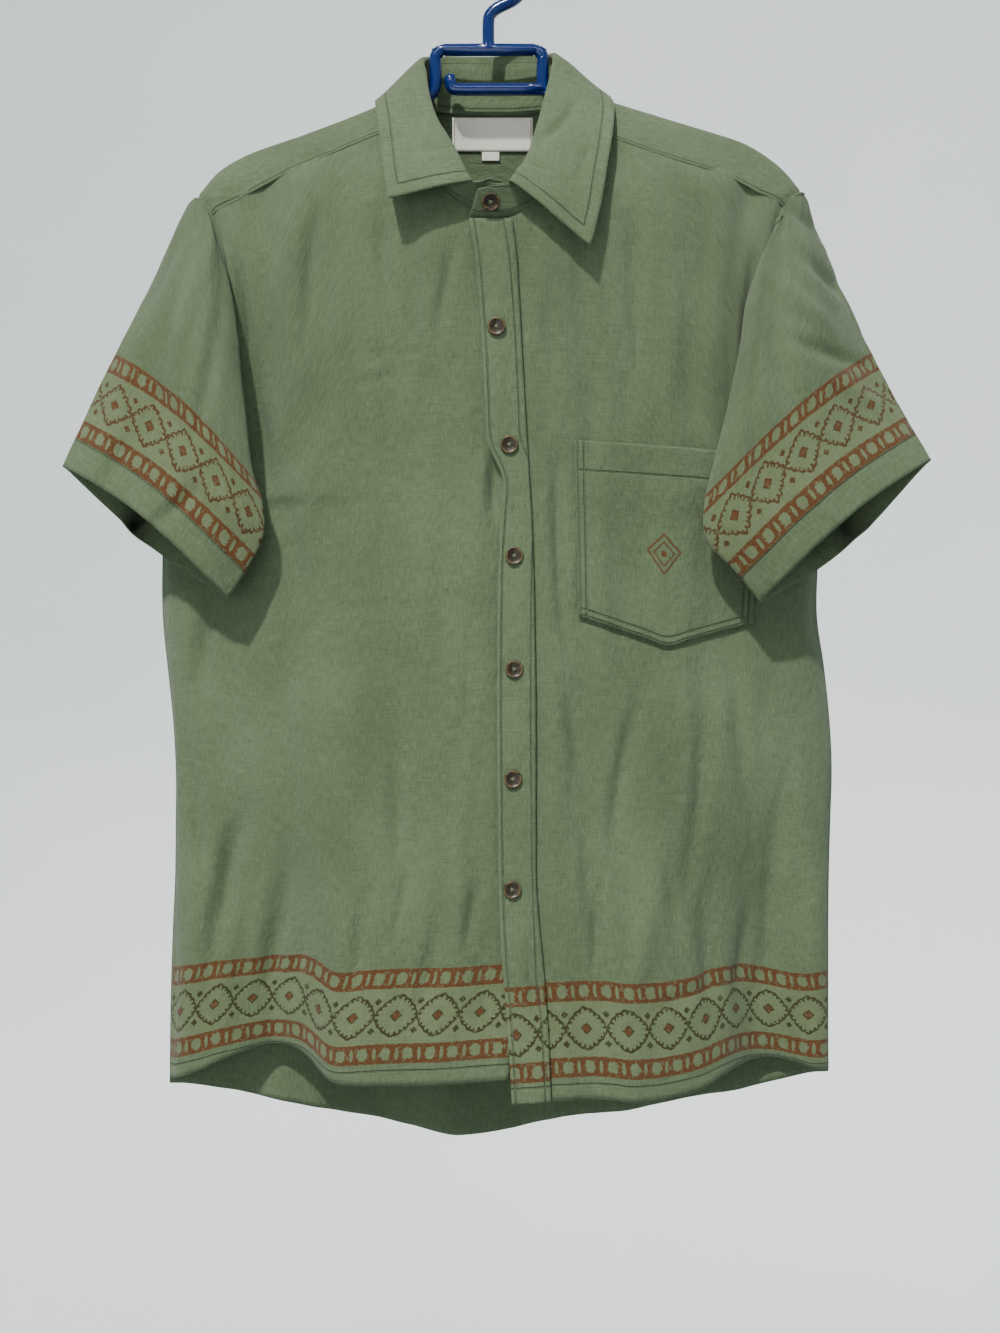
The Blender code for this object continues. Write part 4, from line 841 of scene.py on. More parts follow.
def armhole_ring(side):
    """The armhole: from the ridge down the front, under the arm and up the back."""
    yoke = yoke_grid(YOKE_ROWS)[0 if side == "right" else -1]
    top = front_top(side, outline_x("front", side, CORNER_Z[side])) - SEAM
    heights = [row_height(row, top, 0.0) for row in range(len(ARMHOLE_ROWS))]
    front = [Vector((outline_x("front", side, z), 0.0, z)) for z in heights]
    back = [Vector((outline_x("back", side, z), 0.0, z)) for z in ARMHOLE_ROWS]
    for face, line in (("front", front), ("back", back)):
        for point in line:
            point.y = body_y(face, point.x, point.z)
    over_front = [Vector(point) for point in reversed(yoke[1:YOKE_RIDGE_ROW + 1])]
    over_back = [Vector(point) for point in reversed(yoke[YOKE_RIDGE_ROW + 1:-1])]
    for point in over_front + over_back:
        point.x += SIGN[side] * SEAM
    points = over_front + front + back[-2::-1] + over_back
    outward = []
    count = len(points)
    middle = Vector((SIGN[side] * 120.0, 0.0, -320.0))
    for number in range(count):
        run = points[(number + 1) % count] - points[number - 1]
        across = Vector((run.z, 0.0, -run.x))
        if across.dot(points[number] - middle) < 0.0 or abs(run.z) < 0.5 * abs(run.x):
            across = Vector((SIGN[side] * abs(run.z), 0.0, -abs(run.x)))
        if number < len(over_front) or number == len(over_front) + len(ARMHOLE_ROWS) - 1:
            across = Vector((SIGN[side], -0.2, -0.35))
        elif number >= count - len(over_back):
            across = Vector((SIGN[side], 0.2, -0.35))
        across.x = SIGN[side] * max(abs(across.x), 0.3 * abs(across.z), 0.1)
        outward.append(across.normalized())
    return points, outward, len(over_front)


def through(line, place):
    """A point on the smooth curve through a row of points, at a place counted in points."""
    last = len(line) - 1
    number = min(int(place), last - 1)
    t = place - number
    p1, p2 = line[number], line[number + 1]
    p0 = line[number - 1] if number else p1 + (p1 - p2)
    p3 = line[number + 2] if number + 2 <= last else p2 + (p2 - p1)
    return 0.5 * ((2 * p1) + (p2 - p0) * t + (2 * p0 - 5 * p1 + 4 * p2 - p3) * t * t
                  + (3 * p1 - p0 - 3 * p2 + p3) * t ** 3)


def along(line, share):
    """A point a share of the way along a row of points, by length, on a smooth curve."""
    total = sum((b - a).length for a, b in zip(line, line[1:]))
    want = share * total
    last = len(line) - 1
    for number in range(last):
        length = (line[number + 1] - line[number]).length
        if want <= length or number == last - 1:
            break
        want -= length
    return through(line, number + clamp(want / length))


def inside_body(side, x, y, z, lift):
    """Whether a point is in the shirt's body, or nearer to it than the lift."""
    beyond = SIGN[side] * (x - outline_x("front", side, z))
    if beyond >= lift:
        return False
    near = lift * math.sqrt(1.0 - (max(beyond, 0.0) / lift) ** 2)
    if side == "left" and x < POCKET_OUTER_X + 8.0 and z < POCKET[0].top_z + 12.0:
        near += POCKET_OUT * ease((POCKET_OUTER_X + 8.0 - x) / 8.0)
    return body_y("front", x, z) - near < y < body_y("back", x, z) + near


def clear_of_body(side, point, lift, turn):
    """Move a sleeve's point clear of the body: forwards, or outwards as turn goes to 1."""
    angle = ease(turn) * math.pi / 2
    away = Vector((SIGN[side] * math.sin(angle), -math.cos(angle), 0.0))
    while inside_body(side, point.x, point.y, point.z, lift):
        point += away * 0.4
    return point


def sleeve_grid(side, steps):
    """Rings of a sleeve, a list for each step from the armhole to the cuff."""
    shape = SLEEVE_SHAPE[side]
    ring, outward, over = armhole_ring(side)
    start = []
    for point, away in zip(ring, outward):
        start.append(point + away * (SEAM * 1.5 + ARMPIT_GAP * read(SECTIONS, "z", "round", point.z)))
    count = len(ring)
    fold_place = over + FOLD_ROW[side]
    armpit_place = over + len(ARMHOLE_ROWS) - 1
    top_line = [start[0]] + [Vector(row) for row in SLEEVE_TOP[side]]
    fold_line = [start[fold_place]] + [Vector(row) for row in SLEEVE_FOLD[side]]
    lift = SLEEVE_LIFT
    grid = []
    for step, s in enumerate(steps):
        top = along(top_line, s)
        fold = along(fold_line, s)
        row = []
        for place in range(count):
            front = place <= fold_place
            if front:
                t = place / fold_place
                near, far, near_end, far_end = top, fold, top_line[-1], fold_line[-1]
                near_start, far_start = start[0], start[fold_place]
            else:
                if place <= armpit_place:
                    t = ARMPIT_SHARE * (place - fold_place) / (armpit_place - fold_place)
                else:
                    t = mix(ARMPIT_SHARE, 1.0, (place - armpit_place) / (count - armpit_place))
                near, far, near_end, far_end = fold, top, fold_line[-1], top_line[-1]
                near_start, far_start = start[fold_place], start[0]
            arc = math.sin(math.pi * t) ** 0.62
            cuff = mix(near_end, far_end, t)
            cuff.z += math.sin(math.pi * t) * (shape.cuff_rise if front else -shape.cuff_drop)
            cuff.y += arc * (-shape.front_puff if front else shape.back_puff)
            hold = 1.0 - t if front else (1.0 - t) ** FOLD_FADE
            point = mix(start[place], cuff, s)
            point += (near - mix(near_start, near_end, s)) * hold
            point += (far - mix(far_start, far_end, s)) * t
            rise = ease(s / 0.35) * (1.0 - s)
            point.y += arc * rise * (-shape.front_puff if front else 0.5 * shape.back_puff)
            under = math.exp(-((place - armpit_place - UNDER_PLACE) / UNDER_WIDTH) ** 2)
            under *= math.sin(math.pi * s ** 0.8) ** 0.8
            point.x += SIGN[side] * shape.swing * under
            point.z -= UNDER_DROP * under
            if step == 0:
                point = start[place].copy()
            elif step == 1:
                if front:
                    rim = (place / fold_place) ** 3
                elif place <= armpit_place:
                    rim = 1.0
                else:
                    rim = max(0.0, 1.0 - (place - armpit_place) / 4.0) ** 2
                round_here = read(SECTIONS, "z", "round", ring[place].z)
                out = mix(mix(HEAD_OUT, FOLD_OUT, rim), ARMPIT_OUT, round_here)
                point = start[place] + outward[place] * out
                point.y -= lift * rim * mix(1.0, ARMPIT_FORWARD, round_here)
                if not front and place > armpit_place:
                    point.y += 1.2 * (1.0 - rim) * arc
            else:
                point = clear_of_body(side, point, lift, (place - armpit_place + 4.0) / 5.0)
            row.append(point)
        grid.append(row)
    return grid


def lifted_clear(point, lift):
    """Keep a point of the collar outside the body and yoke by a lift."""
    face = "front" if point.y < 0.0 else "back"
    drop = ridge_z(point.x) + lift - point.z
    if drop <= 0.0:
        return point
    below = max(drop - lift, 0.5)
    depth = abs(body_y(face, point.x, ridge_z(point.x) - below))
    full = depth / (1.0 - math.exp(-math.sqrt(below / RIDGE_HEIGHT))) + lift
    if point.z > ridge_z(point.x) - 8.0:
        allowed = RIDGE_HEIGHT * math.log(1.0 - min(abs(point.y) / full, 0.9)) ** 2
        point.z += max(0.0, drop - allowed)
    else:
        limit = full * (1.0 - math.exp(-math.sqrt(drop / RIDGE_HEIGHT)))
        point.y = min(point.y, -limit) if face == "front" else max(point.y, limit)
    return point


def stand_stations():
    return STAND_END_RIGHT + collar_stations() + STAND_END_LEFT


def seam_places(stations):
    """The neck seam as places on the body's surface: x, and sigma from the ridge."""
    return [Vector((station.seam_x, seam_sigma(station), 0.0)) for station in stations]


def stand_section(stations, seams, rolls, place):
    """Bottom and top of the collar stand at a place along the neck."""
    spot = through(seams, place)
    seam = shoulder_point(spot.x, spot.y)
    seam.y -= LAYER * 1.8 * clamp((place - len(stations) + 4.0) / 2.0)
    roll = through(rolls, place)
    up = (roll - seam).normalized()
    return seam + up * STAND_GAP, roll - up * ROLL_GAP


def roll_points(stations):
    return [Vector((station.roll_x, station.roll_y, station.roll_z)) for station in stations]


def stand_grid(cells):
    stations = stand_stations()
    seams, rolls = seam_places(stations), roll_points(stations)
    grid = []
    for cell in range(cells + 1):
        bottom, top = stand_section(stations, seams, rolls, cell / cells * (len(stations) - 1))
        grid.append([mix(bottom, top, share) for share in (0.0, 0.5, 1.0)])
    return grid


def fall_grid(cells, rows):
    """The turned-down part of the collar, from the roll to the leaf's edge."""
    stations = collar_stations()
    roll = roll_points(stations)
    leaf = [Vector((s.leaf_x, s.leaf_y, s.leaf_z)) for s in stations]
    seams = seam_places(stations)
    grid = []
    for cell in range(cells + 1):
        place = cell / cells * (len(stations) - 1)
        top, edge, spot = (through(line, place) for line in (roll, leaf, seams))
        foot = shoulder_point(spot.x, spot.y)
        before = through(roll, max(place - 0.3, 0.0))
        after = through(roll, min(place + 0.3, len(stations) - 1))
        outward = (after - before).cross(top - foot).normalized()
        if outward.dot(edge - top) < 0.0:
            outward.negate()
        points = [top]
        for row in range(rows):
            share = (row / (rows - 1)) ** 1.15
            point = mix(top + outward * ROLL_OUT, edge, share)
            point += outward * FALL_PUFF * math.sin(math.pi * share) * (1.0 - share)
            points.append(lifted_clear(point, FALL_LIFT))
        grid.append(points)
    return grid


def placket_grid(rows):
    grid = []
    for share in (0.0, 0.5, 1.0):
        points = []
        for row in range(rows + 1):
            place = row / rows
            x_mid = mix(1.0, 30.0, place)
            top = -224.0
            low = read(HEM_LEFT, "x", "z", x_mid)
            z = mix(top, low, place)
            x = mix(read(OPENING, "z", "free", z), read(OPENING, "z", "seam", z), share)
            if place == 1.0:
                z = read(HEM_LEFT, "x", "z", x)
            points.append(Vector((x, body_y("front", x, z) - over_layer("left", x) - LAYER, z)))
        grid.append(points)
    return grid


def pocket_grid(cells):
    grid = []
    for column in range(cells + 1):
        share = column / cells
        top = read(POCKET, "share", "top_z", share)
        low = mix(POCKET[0].low_z, POCKET[1].low_z, share * 2.0) if share < 0.5 else \
            mix(POCKET[1].low_z, POCKET[2].low_z, share * 2.0 - 1.0)
        points = []
        for row in range(cells + 1):
            z = mix(top, low, row / cells)
            x = mix(POCKET_INNER_X, POCKET_OUTER_X, share) + 2.5 * row / cells * (1.0 - share)
            points.append(body_point("front", x, z, POCKET_OUT) - Vector((0.0, over_layer("left", x), 0.0)))
        grid.append(points)
    return grid


def tape_grid(width, top, low, middle, cells):
    """A flat tape on the inside of the back yoke."""
    grid = []
    inward = CLOTH / 2 + LABEL_CLOTH / 2 + 0.35
    for column in range(cells + 1):
        x = middle + width * (column / cells - 0.5)
        points = []
        for row in range(3):
            z = mix(top, low, row / 2)
            points.append(body_point("back", x, z, -inward))
        grid.append(points)
    return grid


def arc_points(centre_x, centre_z, radius, start, end, steps):
    points = []
    for step in range(steps + 1):
        angle = math.radians(mix(start, end, step / steps))
        points.append(Vector((centre_x + radius * math.cos(angle), 0.0, centre_z + radius * math.sin(angle))))
    return points


def frame_points():
    """From one arm's tip over the neck loop to the other arm's tip."""
    right = [Vector((x, 0.0, ridge_z(x) - ARM_BELOW_RIDGE)) for x in (-178, -160, -135, -110, -85, -66)]
    left = [Vector((x, 0.0, ridge_z(x) - ARM_BELOW_RIDGE)) for x in (76, 95, 120, 145, 168, 186)]
    corner = LOOP_CORNER
    points = right + [Vector((-LOOP_HALF - 5.0, 0.0, -120.5)), Vector((-LOOP_HALF, 0.0, -112.0))]
    points += arc_points(-LOOP_HALF + corner, BAR_Z - corner, corner, 180, 90, 4)
    points += arc_points(LOOP_HALF + 1.0 - corner, BAR_Z - corner, corner, 90, 0, 4)
    points += [Vector((LOOP_HALF + 1.0, 0.0, -112.0)), Vector((LOOP_HALF + 8.0, 0.0, -120.0))]
    return points + left


def hook_points():
    """The stem, its sideways bend and the round hook, to its rounded tip."""
    centre_z = TUBE - HOOK_RADIUS
    points = [Vector((0.0, 0.0, BAR_Z)), Vector((0.0, 0.0, STEM_TOP)), Vector((1.5, 0.0, STEM_TOP + 5.5)),
              Vector((6.5, 0.0, STEM_TOP + 10.0))]
    return points + arc_points(HOOK_SHIFT, centre_z, HOOK_RADIUS, -58, 196, 22)


def rest_points():
    """The open bar under the neck loop, with its upturned end."""
    places = [(LOOP_HALF + 1.0, 0.0), (0.0, 0.0), (REST_END + 4.0, 0.0), (REST_END, 2.0),
              (REST_END - 1.0, 7.0)]
    return [Vector((x, 0.0, REST_Z + up)) for x, up in places]


def spline_weights(count, cells, closed):
    """Weights that read a smooth curve through a row of points, at even places along it."""
    spans = count if closed else count - 1
    weights = np.zeros((cells * spans + 1, count))
    for place in range(cells * spans + 1):
        number = min(place // cells, spans - 1)
        t = place / cells - number
        shares = (0.5 * (-t + 2 * t ** 2 - t ** 3), 0.5 * (2 - 5 * t ** 2 + 3 * t ** 3),
                  0.5 * (t + 4 * t ** 2 - 3 * t ** 3), 0.5 * (t ** 3 - t ** 2))
        for step, share in zip((-1, 0, 1, 2), shares):
            spot = number + step
            if closed:
                weights[place, spot % count] += share
            elif spot < 0:
                weights[place, 0] += 2 * share
                weights[place, 1] -= share
            elif spot >= count:
                weights[place, count - 1] += 2 * share
                weights[place, count - 2] -= share
            else:
                weights[place, spot] += share
    return weights


def refine(grid, fine, closed=False):
    """A finer grid on the smooth surface through a plain one, in millimetres."""
    plain = np.array([[tuple(point) for point in line] for line in grid])
    wide = spline_weights(plain.shape[0], fine[0], False)
    tall = spline_weights(plain.shape[1], fine[1], closed)
    return np.einsum("ac,cdk,bd->abk", wide, plain, tall)


def facing(points, outside, closed=False):
    """Directions square to a sheet, on the side that outside says: 1 or -1."""
    wrapped = np.concatenate([points[:, -2:-1], points, points[:, 1:2]], axis=1) if closed else points
    square = np.cross(np.gradient(wrapped, axis=0), np.gradient(wrapped, axis=1))
    square = square[:, 1:-1] if closed else square
    return outside * square / (np.linalg.norm(square, axis=2, keepdims=True) + 1e-9)


def running(points, axis, from_end=False):
    """Length along the rows or columns of a sheet, from its first or last line."""
    steps = np.linalg.norm(np.diff(points, axis=axis), axis=2)
    total = np.cumsum(steps, axis=axis)
    total = np.concatenate([np.zeros_like(total[:1] if axis == 0 else total[:, :1]), total], axis=axis)
    if from_end:
        total = (total[-1:] if axis == 0 else total[:, -1:]) - total
    return total


def crease_height(creases, x, z):
    """How far the creases push a sheet in, as soft troughs with a low ridge each side."""
    total = np.zeros_like(x)
    for crease in creases:
        lean = math.radians(crease.lean)
        dx, dz = x - crease.x, z - crease.z
        down = (dx * math.sin(lean) + dz * math.cos(lean)) / crease.half
        side = dx * math.cos(lean) - dz * math.sin(lean) - crease.bend * down ** 2
        taper = np.clip(1.0 - down ** 2, 0.0, 1.0) ** 2
        ratio = (side / crease.width) ** 2
        total += crease.depth * taper * (1.0 - 0.9 * ratio) * np.exp(-ratio)
    return np.where(total > 0.0, total * CREASE_IN, total * CREASE_OUT)


def crinkle_height(across, along, seed):
    """The small crumpling of soft cotton, longer down the cloth than across it."""
    total = np.zeros_like(across)
    for number, size in enumerate(CRINKLES):
        flat = [noise.noise(Vector((a / size.across, b / size.along, seed + 7.3 * number)))
                for a, b in zip(across.flat, along.flat)]
        total += size.height * np.array(flat).reshape(across.shape)
    return total


def hold(points, axis, first=True, last=True, reach=EDGE_HOLD):
    """0 at a sheet's sewn edges and 1 away from them, so that the seams stay put."""
    share = np.ones(points.shape[:2])
    if first:
        share = share * np.clip(running(points, axis) / reach, 0.0, 1.0)
    if last:
        share = share * np.clip(running(points, axis, True) / reach, 0.0, 1.0)
    return share * share * (3.0 - 2.0 * share)


def tuck(points, outside, axis, first, length, depth, closed=False):
    """A seam allowance past one edge, eased in under the next piece."""
    square = facing(points, outside, closed)
    take = (lambda a, n: a[n]) if axis == 0 else (lambda a, n: a[:, n])
    edge, inner = (0, 2) if first else (-1, -3)
    away = take(points, edge) - take(points, inner)
    away = away / (np.linalg.norm(away, axis=1, keepdims=True) + 1e-9)
    start, inward = take(points, edge), take(square, edge)
    rows = []
    for row in range(1, TUCK_ROWS + 1):
        share = row / TUCK_ROWS
        rows.append(start + away * length * share - inward * depth * math.sqrt(share))
    if first:
        rows.reverse()
    strip = np.stack(rows, axis=axis)
    return np.concatenate([strip, points] if first else [points, strip], axis=axis)


class Sheet:
    """A sheet of cloth: its points, the side that shows and its flat pattern, u across and v up."""

    def __init__(self, points, outside, u, v, closed=False):
        self.points = points
        self.outside = outside
        self.u = np.broadcast_to(u, points.shape[:2])
        self.v = np.broadcast_to(v, points.shape[:2])
        self.closed = closed

    def square(self):
        return facing(self.points, self.outside, self.closed)

    def area(self):
        a = np.diff(self.points, axis=0)[:, :-1]
        b = np.diff(self.points, axis=1)[:-1]
        return float(np.linalg.norm(np.cross(a, b), axis=2).sum()) * MM * MM

    def line(self, field, value, axis, lift=0.0, first=0.0, last=1.0):
        """Points where a field crosses a value, one on each line along an axis, and their directions."""
        points, square, levels = self.points, self.square(), field
        if axis == 0:
            points, square, levels = points.swapaxes(0, 1), square.swapaxes(0, 1), field.T
        spots, ways = [], []
        count = len(points)
        for number in range(round(first * (count - 1)), round(last * (count - 1)) + 1):
            level = levels[number]
            order = np.argsort(level)
            if not level[order[0]] <= value <= level[order[-1]]:
                continue
            spot = [np.interp(value, level[order], points[number][order, k]) for k in range(3)]
            way = [np.interp(value, level[order], square[number][order, k]) for k in range(3)]
            spots.append(np.array(spot) + np.array(way) * lift)
            ways.append(way)
        return np.array(spots), np.array(ways)


def mesh_from(shape, name):
    """The mesh of a shape, which is freed."""
    mesh = bpy.data.meshes.new(name)
    shape.to_mesh(mesh)
    shape.free()
    return mesh


def placed(name, data):
    """An object in the scene, at the origin."""
    item = bpy.data.objects.new(name, data)
    bpy.context.scene.collection.objects.link(item)
    return item


def turned(shape, path, axis, steps, near):
    """A path of points turned all the way round an axis through the origin."""
    spots = [shape.verts.new(place) for place in path]
    edges = [shape.edges.new(pair) for pair in zip(spots, spots[1:])]
    bmesh.ops.spin(shape, geom=spots + edges, cent=(0, 0, 0), axis=axis, angle=2 * math.pi, steps=steps,
                   use_merge=True)
    bmesh.ops.remove_doubles(shape, verts=shape.verts, dist=near)


def wrap(name, sheet, node, looks, wall):
    """The finished cloth piece for a node: a thin shell with its flat pattern as its UV map."""
    a, b = sheet.points.shape[:2]
    shape = bmesh.new()
    bmesh.ops.create_grid(shape, x_segments=a - 1, y_segments=b - 1, size=1.0)
    flat = shape.loops.layers.uv.new("pattern")
    for vert in shape.verts:
        i = round((vert.co.x + 1.0) / 2.0 * (a - 1))
        j = round((vert.co.y + 1.0) / 2.0 * (b - 1))
        for loop in vert.link_loops:
            loop[flat].uv = (sheet.u[i, j] * MM, sheet.v[i, j] * MM)
        vert.co = Vector(sheet.points[i, j]) * MM
    if sheet.outside < 0:
        bmesh.ops.reverse_faces(shape, faces=shape.faces)
    if sheet.closed:
        bmesh.ops.remove_doubles(shape, verts=shape.verts, dist=1e-6)
    mesh = mesh_from(shape, name)
    mesh.shade_smooth()
    for look in looks:
        mesh.materials.append(look)
    piece = placed(name, mesh)
    shell = piece.modifiers.new("wall", "SOLIDIFY")
    shell.thickness = wall * MM
    shell.offset = 0.0
    shell.material_offset = len(looks) - 1
    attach(piece, "root")
    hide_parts(node)
    sheet.area()
    return piece


def stitch_shape():
    """One stitch of thread, a short bar with rounded ends, along +X."""
    shape = bmesh.new()
    bmesh.ops.create_cone(shape, cap_ends=True, segments=5, radius1=0.22, radius2=0.22, depth=1.5,
                          matrix=Matrix.Rotation(math.pi / 2, 4, "Y"))
    caps = [face for face in shape.faces if len(face.verts) == 5]
    bmesh.ops.inset_individual(shape, faces=caps, thickness=0.1, use_even_offset=True)
    for vert in {vert for face in caps for vert in face.verts}:
        vert.co.x += math.copysign(0.35, vert.co.x)
        vert.co.z -= 0.12
    return mesh_from(shape, "stitch")


def sew(name, lines, look, pitch=3.1):
    """Rows of stitches along lines on the cloth, as one piece."""
    spots = []
    pattern = stitch_shape()
    corners = np.array([tuple(vert.co) for vert in pattern.vertices])
    faces = [tuple(face.vertices) for face in pattern.polygons]
    for points, ways in lines:
        if len(points) < 2:
            continue
        steps = np.concatenate([[0.0], np.cumsum(np.linalg.norm(np.diff(points, axis=0), axis=1))])
        for number in range(1, int(steps[-1] / pitch)):
            at = number * pitch
            reads = ((at, points), (min(at + 1.0, steps[-1]), points), (at, ways))
            here, after, up = (np.array([np.interp(place, steps, row[:, k]) for k in range(3)])
                               for place, row in reads)
            along_line = (after - here) / (np.linalg.norm(after - here) + 1e-9)
            side = np.cross(up, along_line)
            side = side / (np.linalg.norm(side) + 1e-9)
            turn = np.array([along_line, side, np.cross(along_line, side)])
            spots.append(corners @ turn + here)
    count = len(corners)
    verts = np.concatenate(spots) * MM
    sides = [tuple(n * count + k for k in face) for n in range(len(spots)) for face in faces]
    mesh = bpy.data.meshes.new(name)
    mesh.from_pydata(verts.tolist(), [], sides)
    mesh.shade_smooth()
    mesh.materials.append(look)
    piece = placed(name, mesh)
    bpy.data.meshes.remove(pattern)
    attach(piece, "root")
    return piece


class Amount:
    """A number that changes over a surface, so that a pattern reads as plain sums."""

    def __init__(self, tree, socket):
        self.tree = tree
        self.socket = socket

    def work(self, operation, *others):
        node = self.tree.nodes.new("ShaderNodeMath")
        node.operation = operation
        for place, item in enumerate((self,) + others):
            if isinstance(item, Amount):
                self.tree.links.new(item.socket, node.inputs[place])
            else:
                node.inputs[place].default_value = item
        return Amount(self.tree, node.outputs[0])

    def __add__(self, other):
        return self.work("ADD", other)

    def __sub__(self, other):
        return self.work("SUBTRACT", other)

    def __mul__(self, other):
        return self.work("MULTIPLY", other)

    def __truediv__(self, other):
        return self.work("DIVIDE", other)

    def __abs__(self):
        return self.work("ABSOLUTE")

    def __pow__(self, other):
        return self.work("POWER", other)

    def sine(self):
        return self.work("SINE")

    def least(self, other):
        return self.work("MINIMUM", other)

    def most(self, other):
        return self.work("MAXIMUM", other)

    def turn(self, other):
        return self.work("ARCTAN2", other)

    def repeat(self, pitch):
        """The place within a repeat, from minus to plus half of its pitch."""
        return (self + pitch / 2).work("FLOORED_MODULO", pitch) - pitch / 2

    def soft(self, low, high):
        """0 up to low and 1 from high, or the other way round where low is more."""
        if low > high:
            return self.soft(high, low) * -1.0 + 1.0
        node = self.tree.nodes.new("ShaderNodeMapRange")
        node.interpolation_type = "SMOOTHSTEP"
        self.tree.links.new(self.socket, node.inputs["Value"])
        node.inputs["From Min"].default_value = low
        node.inputs["From Max"].default_value = high
        return Amount(self.tree, node.outputs["Result"])


def join(tree, x, y, z=0.0):
    node = tree.nodes.new("ShaderNodeCombineXYZ")
    for place, item in enumerate((x, y, z)):
        if isinstance(item, Amount):
            tree.links.new(item.socket, node.inputs[place])
        else:
            node.inputs[place].default_value = item
    return node.outputs[0]


def speckle(tree, x, y, detail=2.0, rough=0.55, z=0.0):
    """Smooth noise at a place given in its own grains, about 0.5 in the middle."""
    node = tree.nodes.new("ShaderNodeTexNoise")
    node.inputs["Scale"].default_value = 1.0
    node.inputs["Detail"].default_value = detail
    node.inputs["Roughness"].default_value = rough
    tree.links.new(join(tree, x, y, z), node.inputs["Vector"])
    return Amount(tree, node.outputs["Fac"])


def blend_colour(tree, share, low, high):
    """A colour between two, each a plain colour or a socket."""
    node = tree.nodes.new("ShaderNodeMix")
    node.data_type = "RGBA"
    tree.links.new(share.socket, node.inputs["Factor"])
    for name, colour in (("A", low), ("B", high)):
        socket = next(item for item in node.inputs if item.name == name and item.type == "RGBA")
        if isinstance(colour, tuple):
            socket.default_value = colour + (1.0,)
        else:
            tree.links.new(colour, socket)
    return next(item for item in node.outputs if item.type == "RGBA")


def raise_surface(tree, shader, height, strength=1.0):
    """Bump from a height in millimetres."""
    node = tree.nodes.new("ShaderNodeBump")
    node.inputs["Strength"].default_value = strength
    node.inputs["Distance"].default_value = MM
    tree.links.new(height.socket, node.inputs["Height"])
    tree.links.new(node.outputs["Normal"], shader.inputs["Normal"])


def pattern_place(tree):
    """Across and up on the cloth's flat pattern, in millimetres."""
    node = tree.nodes.new("ShaderNodeUVMap")
    node.uv_map = "pattern"
    split = tree.nodes.new("ShaderNodeSeparateXYZ")
    tree.links.new(node.outputs["UV"], split.inputs[0])
    return Amount(tree, split.outputs["X"]) / MM, Amount(tree, split.outputs["Y"]) / MM


def new_material(name, roughness, sheen=0.0, specular=0.3):
    material = bpy.data.materials.new(name)
    material.use_nodes = True
    shader = material.node_tree.nodes["Principled BSDF"]
    shader.inputs["Roughness"].default_value = roughness
    shader.inputs["Sheen Weight"].default_value = sheen
    shader.inputs["Specular IOR Level"].default_value = specular
    return material, material.node_tree, shader


def rail_print(u, v, wobble):
    """A solid rail with pebbles left open in it, each next to a slim one."""
    off = (abs(v - RAIL_LOW)).least(abs(v - RAIL_HIGH))
    rail = off.soft(RAIL_TALL / 2 + 0.3, RAIL_TALL / 2 - 0.3)
    beside = u.repeat(PEBBLE_PITCH)
    round_one = (abs(beside + 2.8) / 3.7) ** 2.4 + (off / 4.3) ** 2.6 + wobble * 2.2
    slim_one = (abs(beside - 4.9) / 1.3) ** 2.0 + (off / 4.4) ** 2.0 + wobble * 1.2
    return rail * round_one.least(slim_one).soft(0.85, 1.15)


def medallion_print(u, v, bow):
    """Medallions with toothed outlines that meet in crosses: outline, and centre diamonds."""
    side = u.repeat(MEDALLION_PITCH)
    up = v - MEDALLION_MIDDLE
    a, b = abs(side), abs(up)
    half = MEDALLION_PITCH / 2
    across, tall, wave = bow
    ring = (a / half) ** across + (b / MEDALLION_TALL) ** tall + (up.turn(side) * 14.0).sine() * wave
    depth = (ring - 1.0) * 9.0
    line = abs(depth).soft(0.95, 0.55)
    teeth = (up.turn(side) * 21.0).sine().soft(-0.1, 0.5) * depth.soft(-2.3, -1.9) * depth.soft(0.2, -0.2)
    diamond = a + b
    rim = abs(diamond - 3.7).soft(0.9, 0.5)
    gap = (a * -1.0 + half) + abs(b - 10.4)
    small = gap.soft(2.9, 2.3)
    outline = line.most(teeth).most(rim).most(small)
    return outline, diamond.soft(3.4, 2.9)


def seam_pull_and_shade(tree, u, v, seams):
    """Where rows of stitching draw the cloth in, as a groove that is also painted darker as shade: each row's
    axis, its place and its two ends.
    """
    marks = None
    for axis, place, first, last in seams:
        field, other = (u, v) if axis == "u" else (v, u)
        draw = (abs(field - place)).soft(1.1, 0.1) * other.soft(first - 0.3, first + 0.3)
        draw = draw * other.soft(last + 0.3, last - 0.3)
        marks = draw if marks is None else marks.most(draw)
    pucker = speckle(tree, u * 0.45, v * 0.45, 2.0, 0.6, 53.0)
    return marks * (pucker * 0.8 + 0.5)


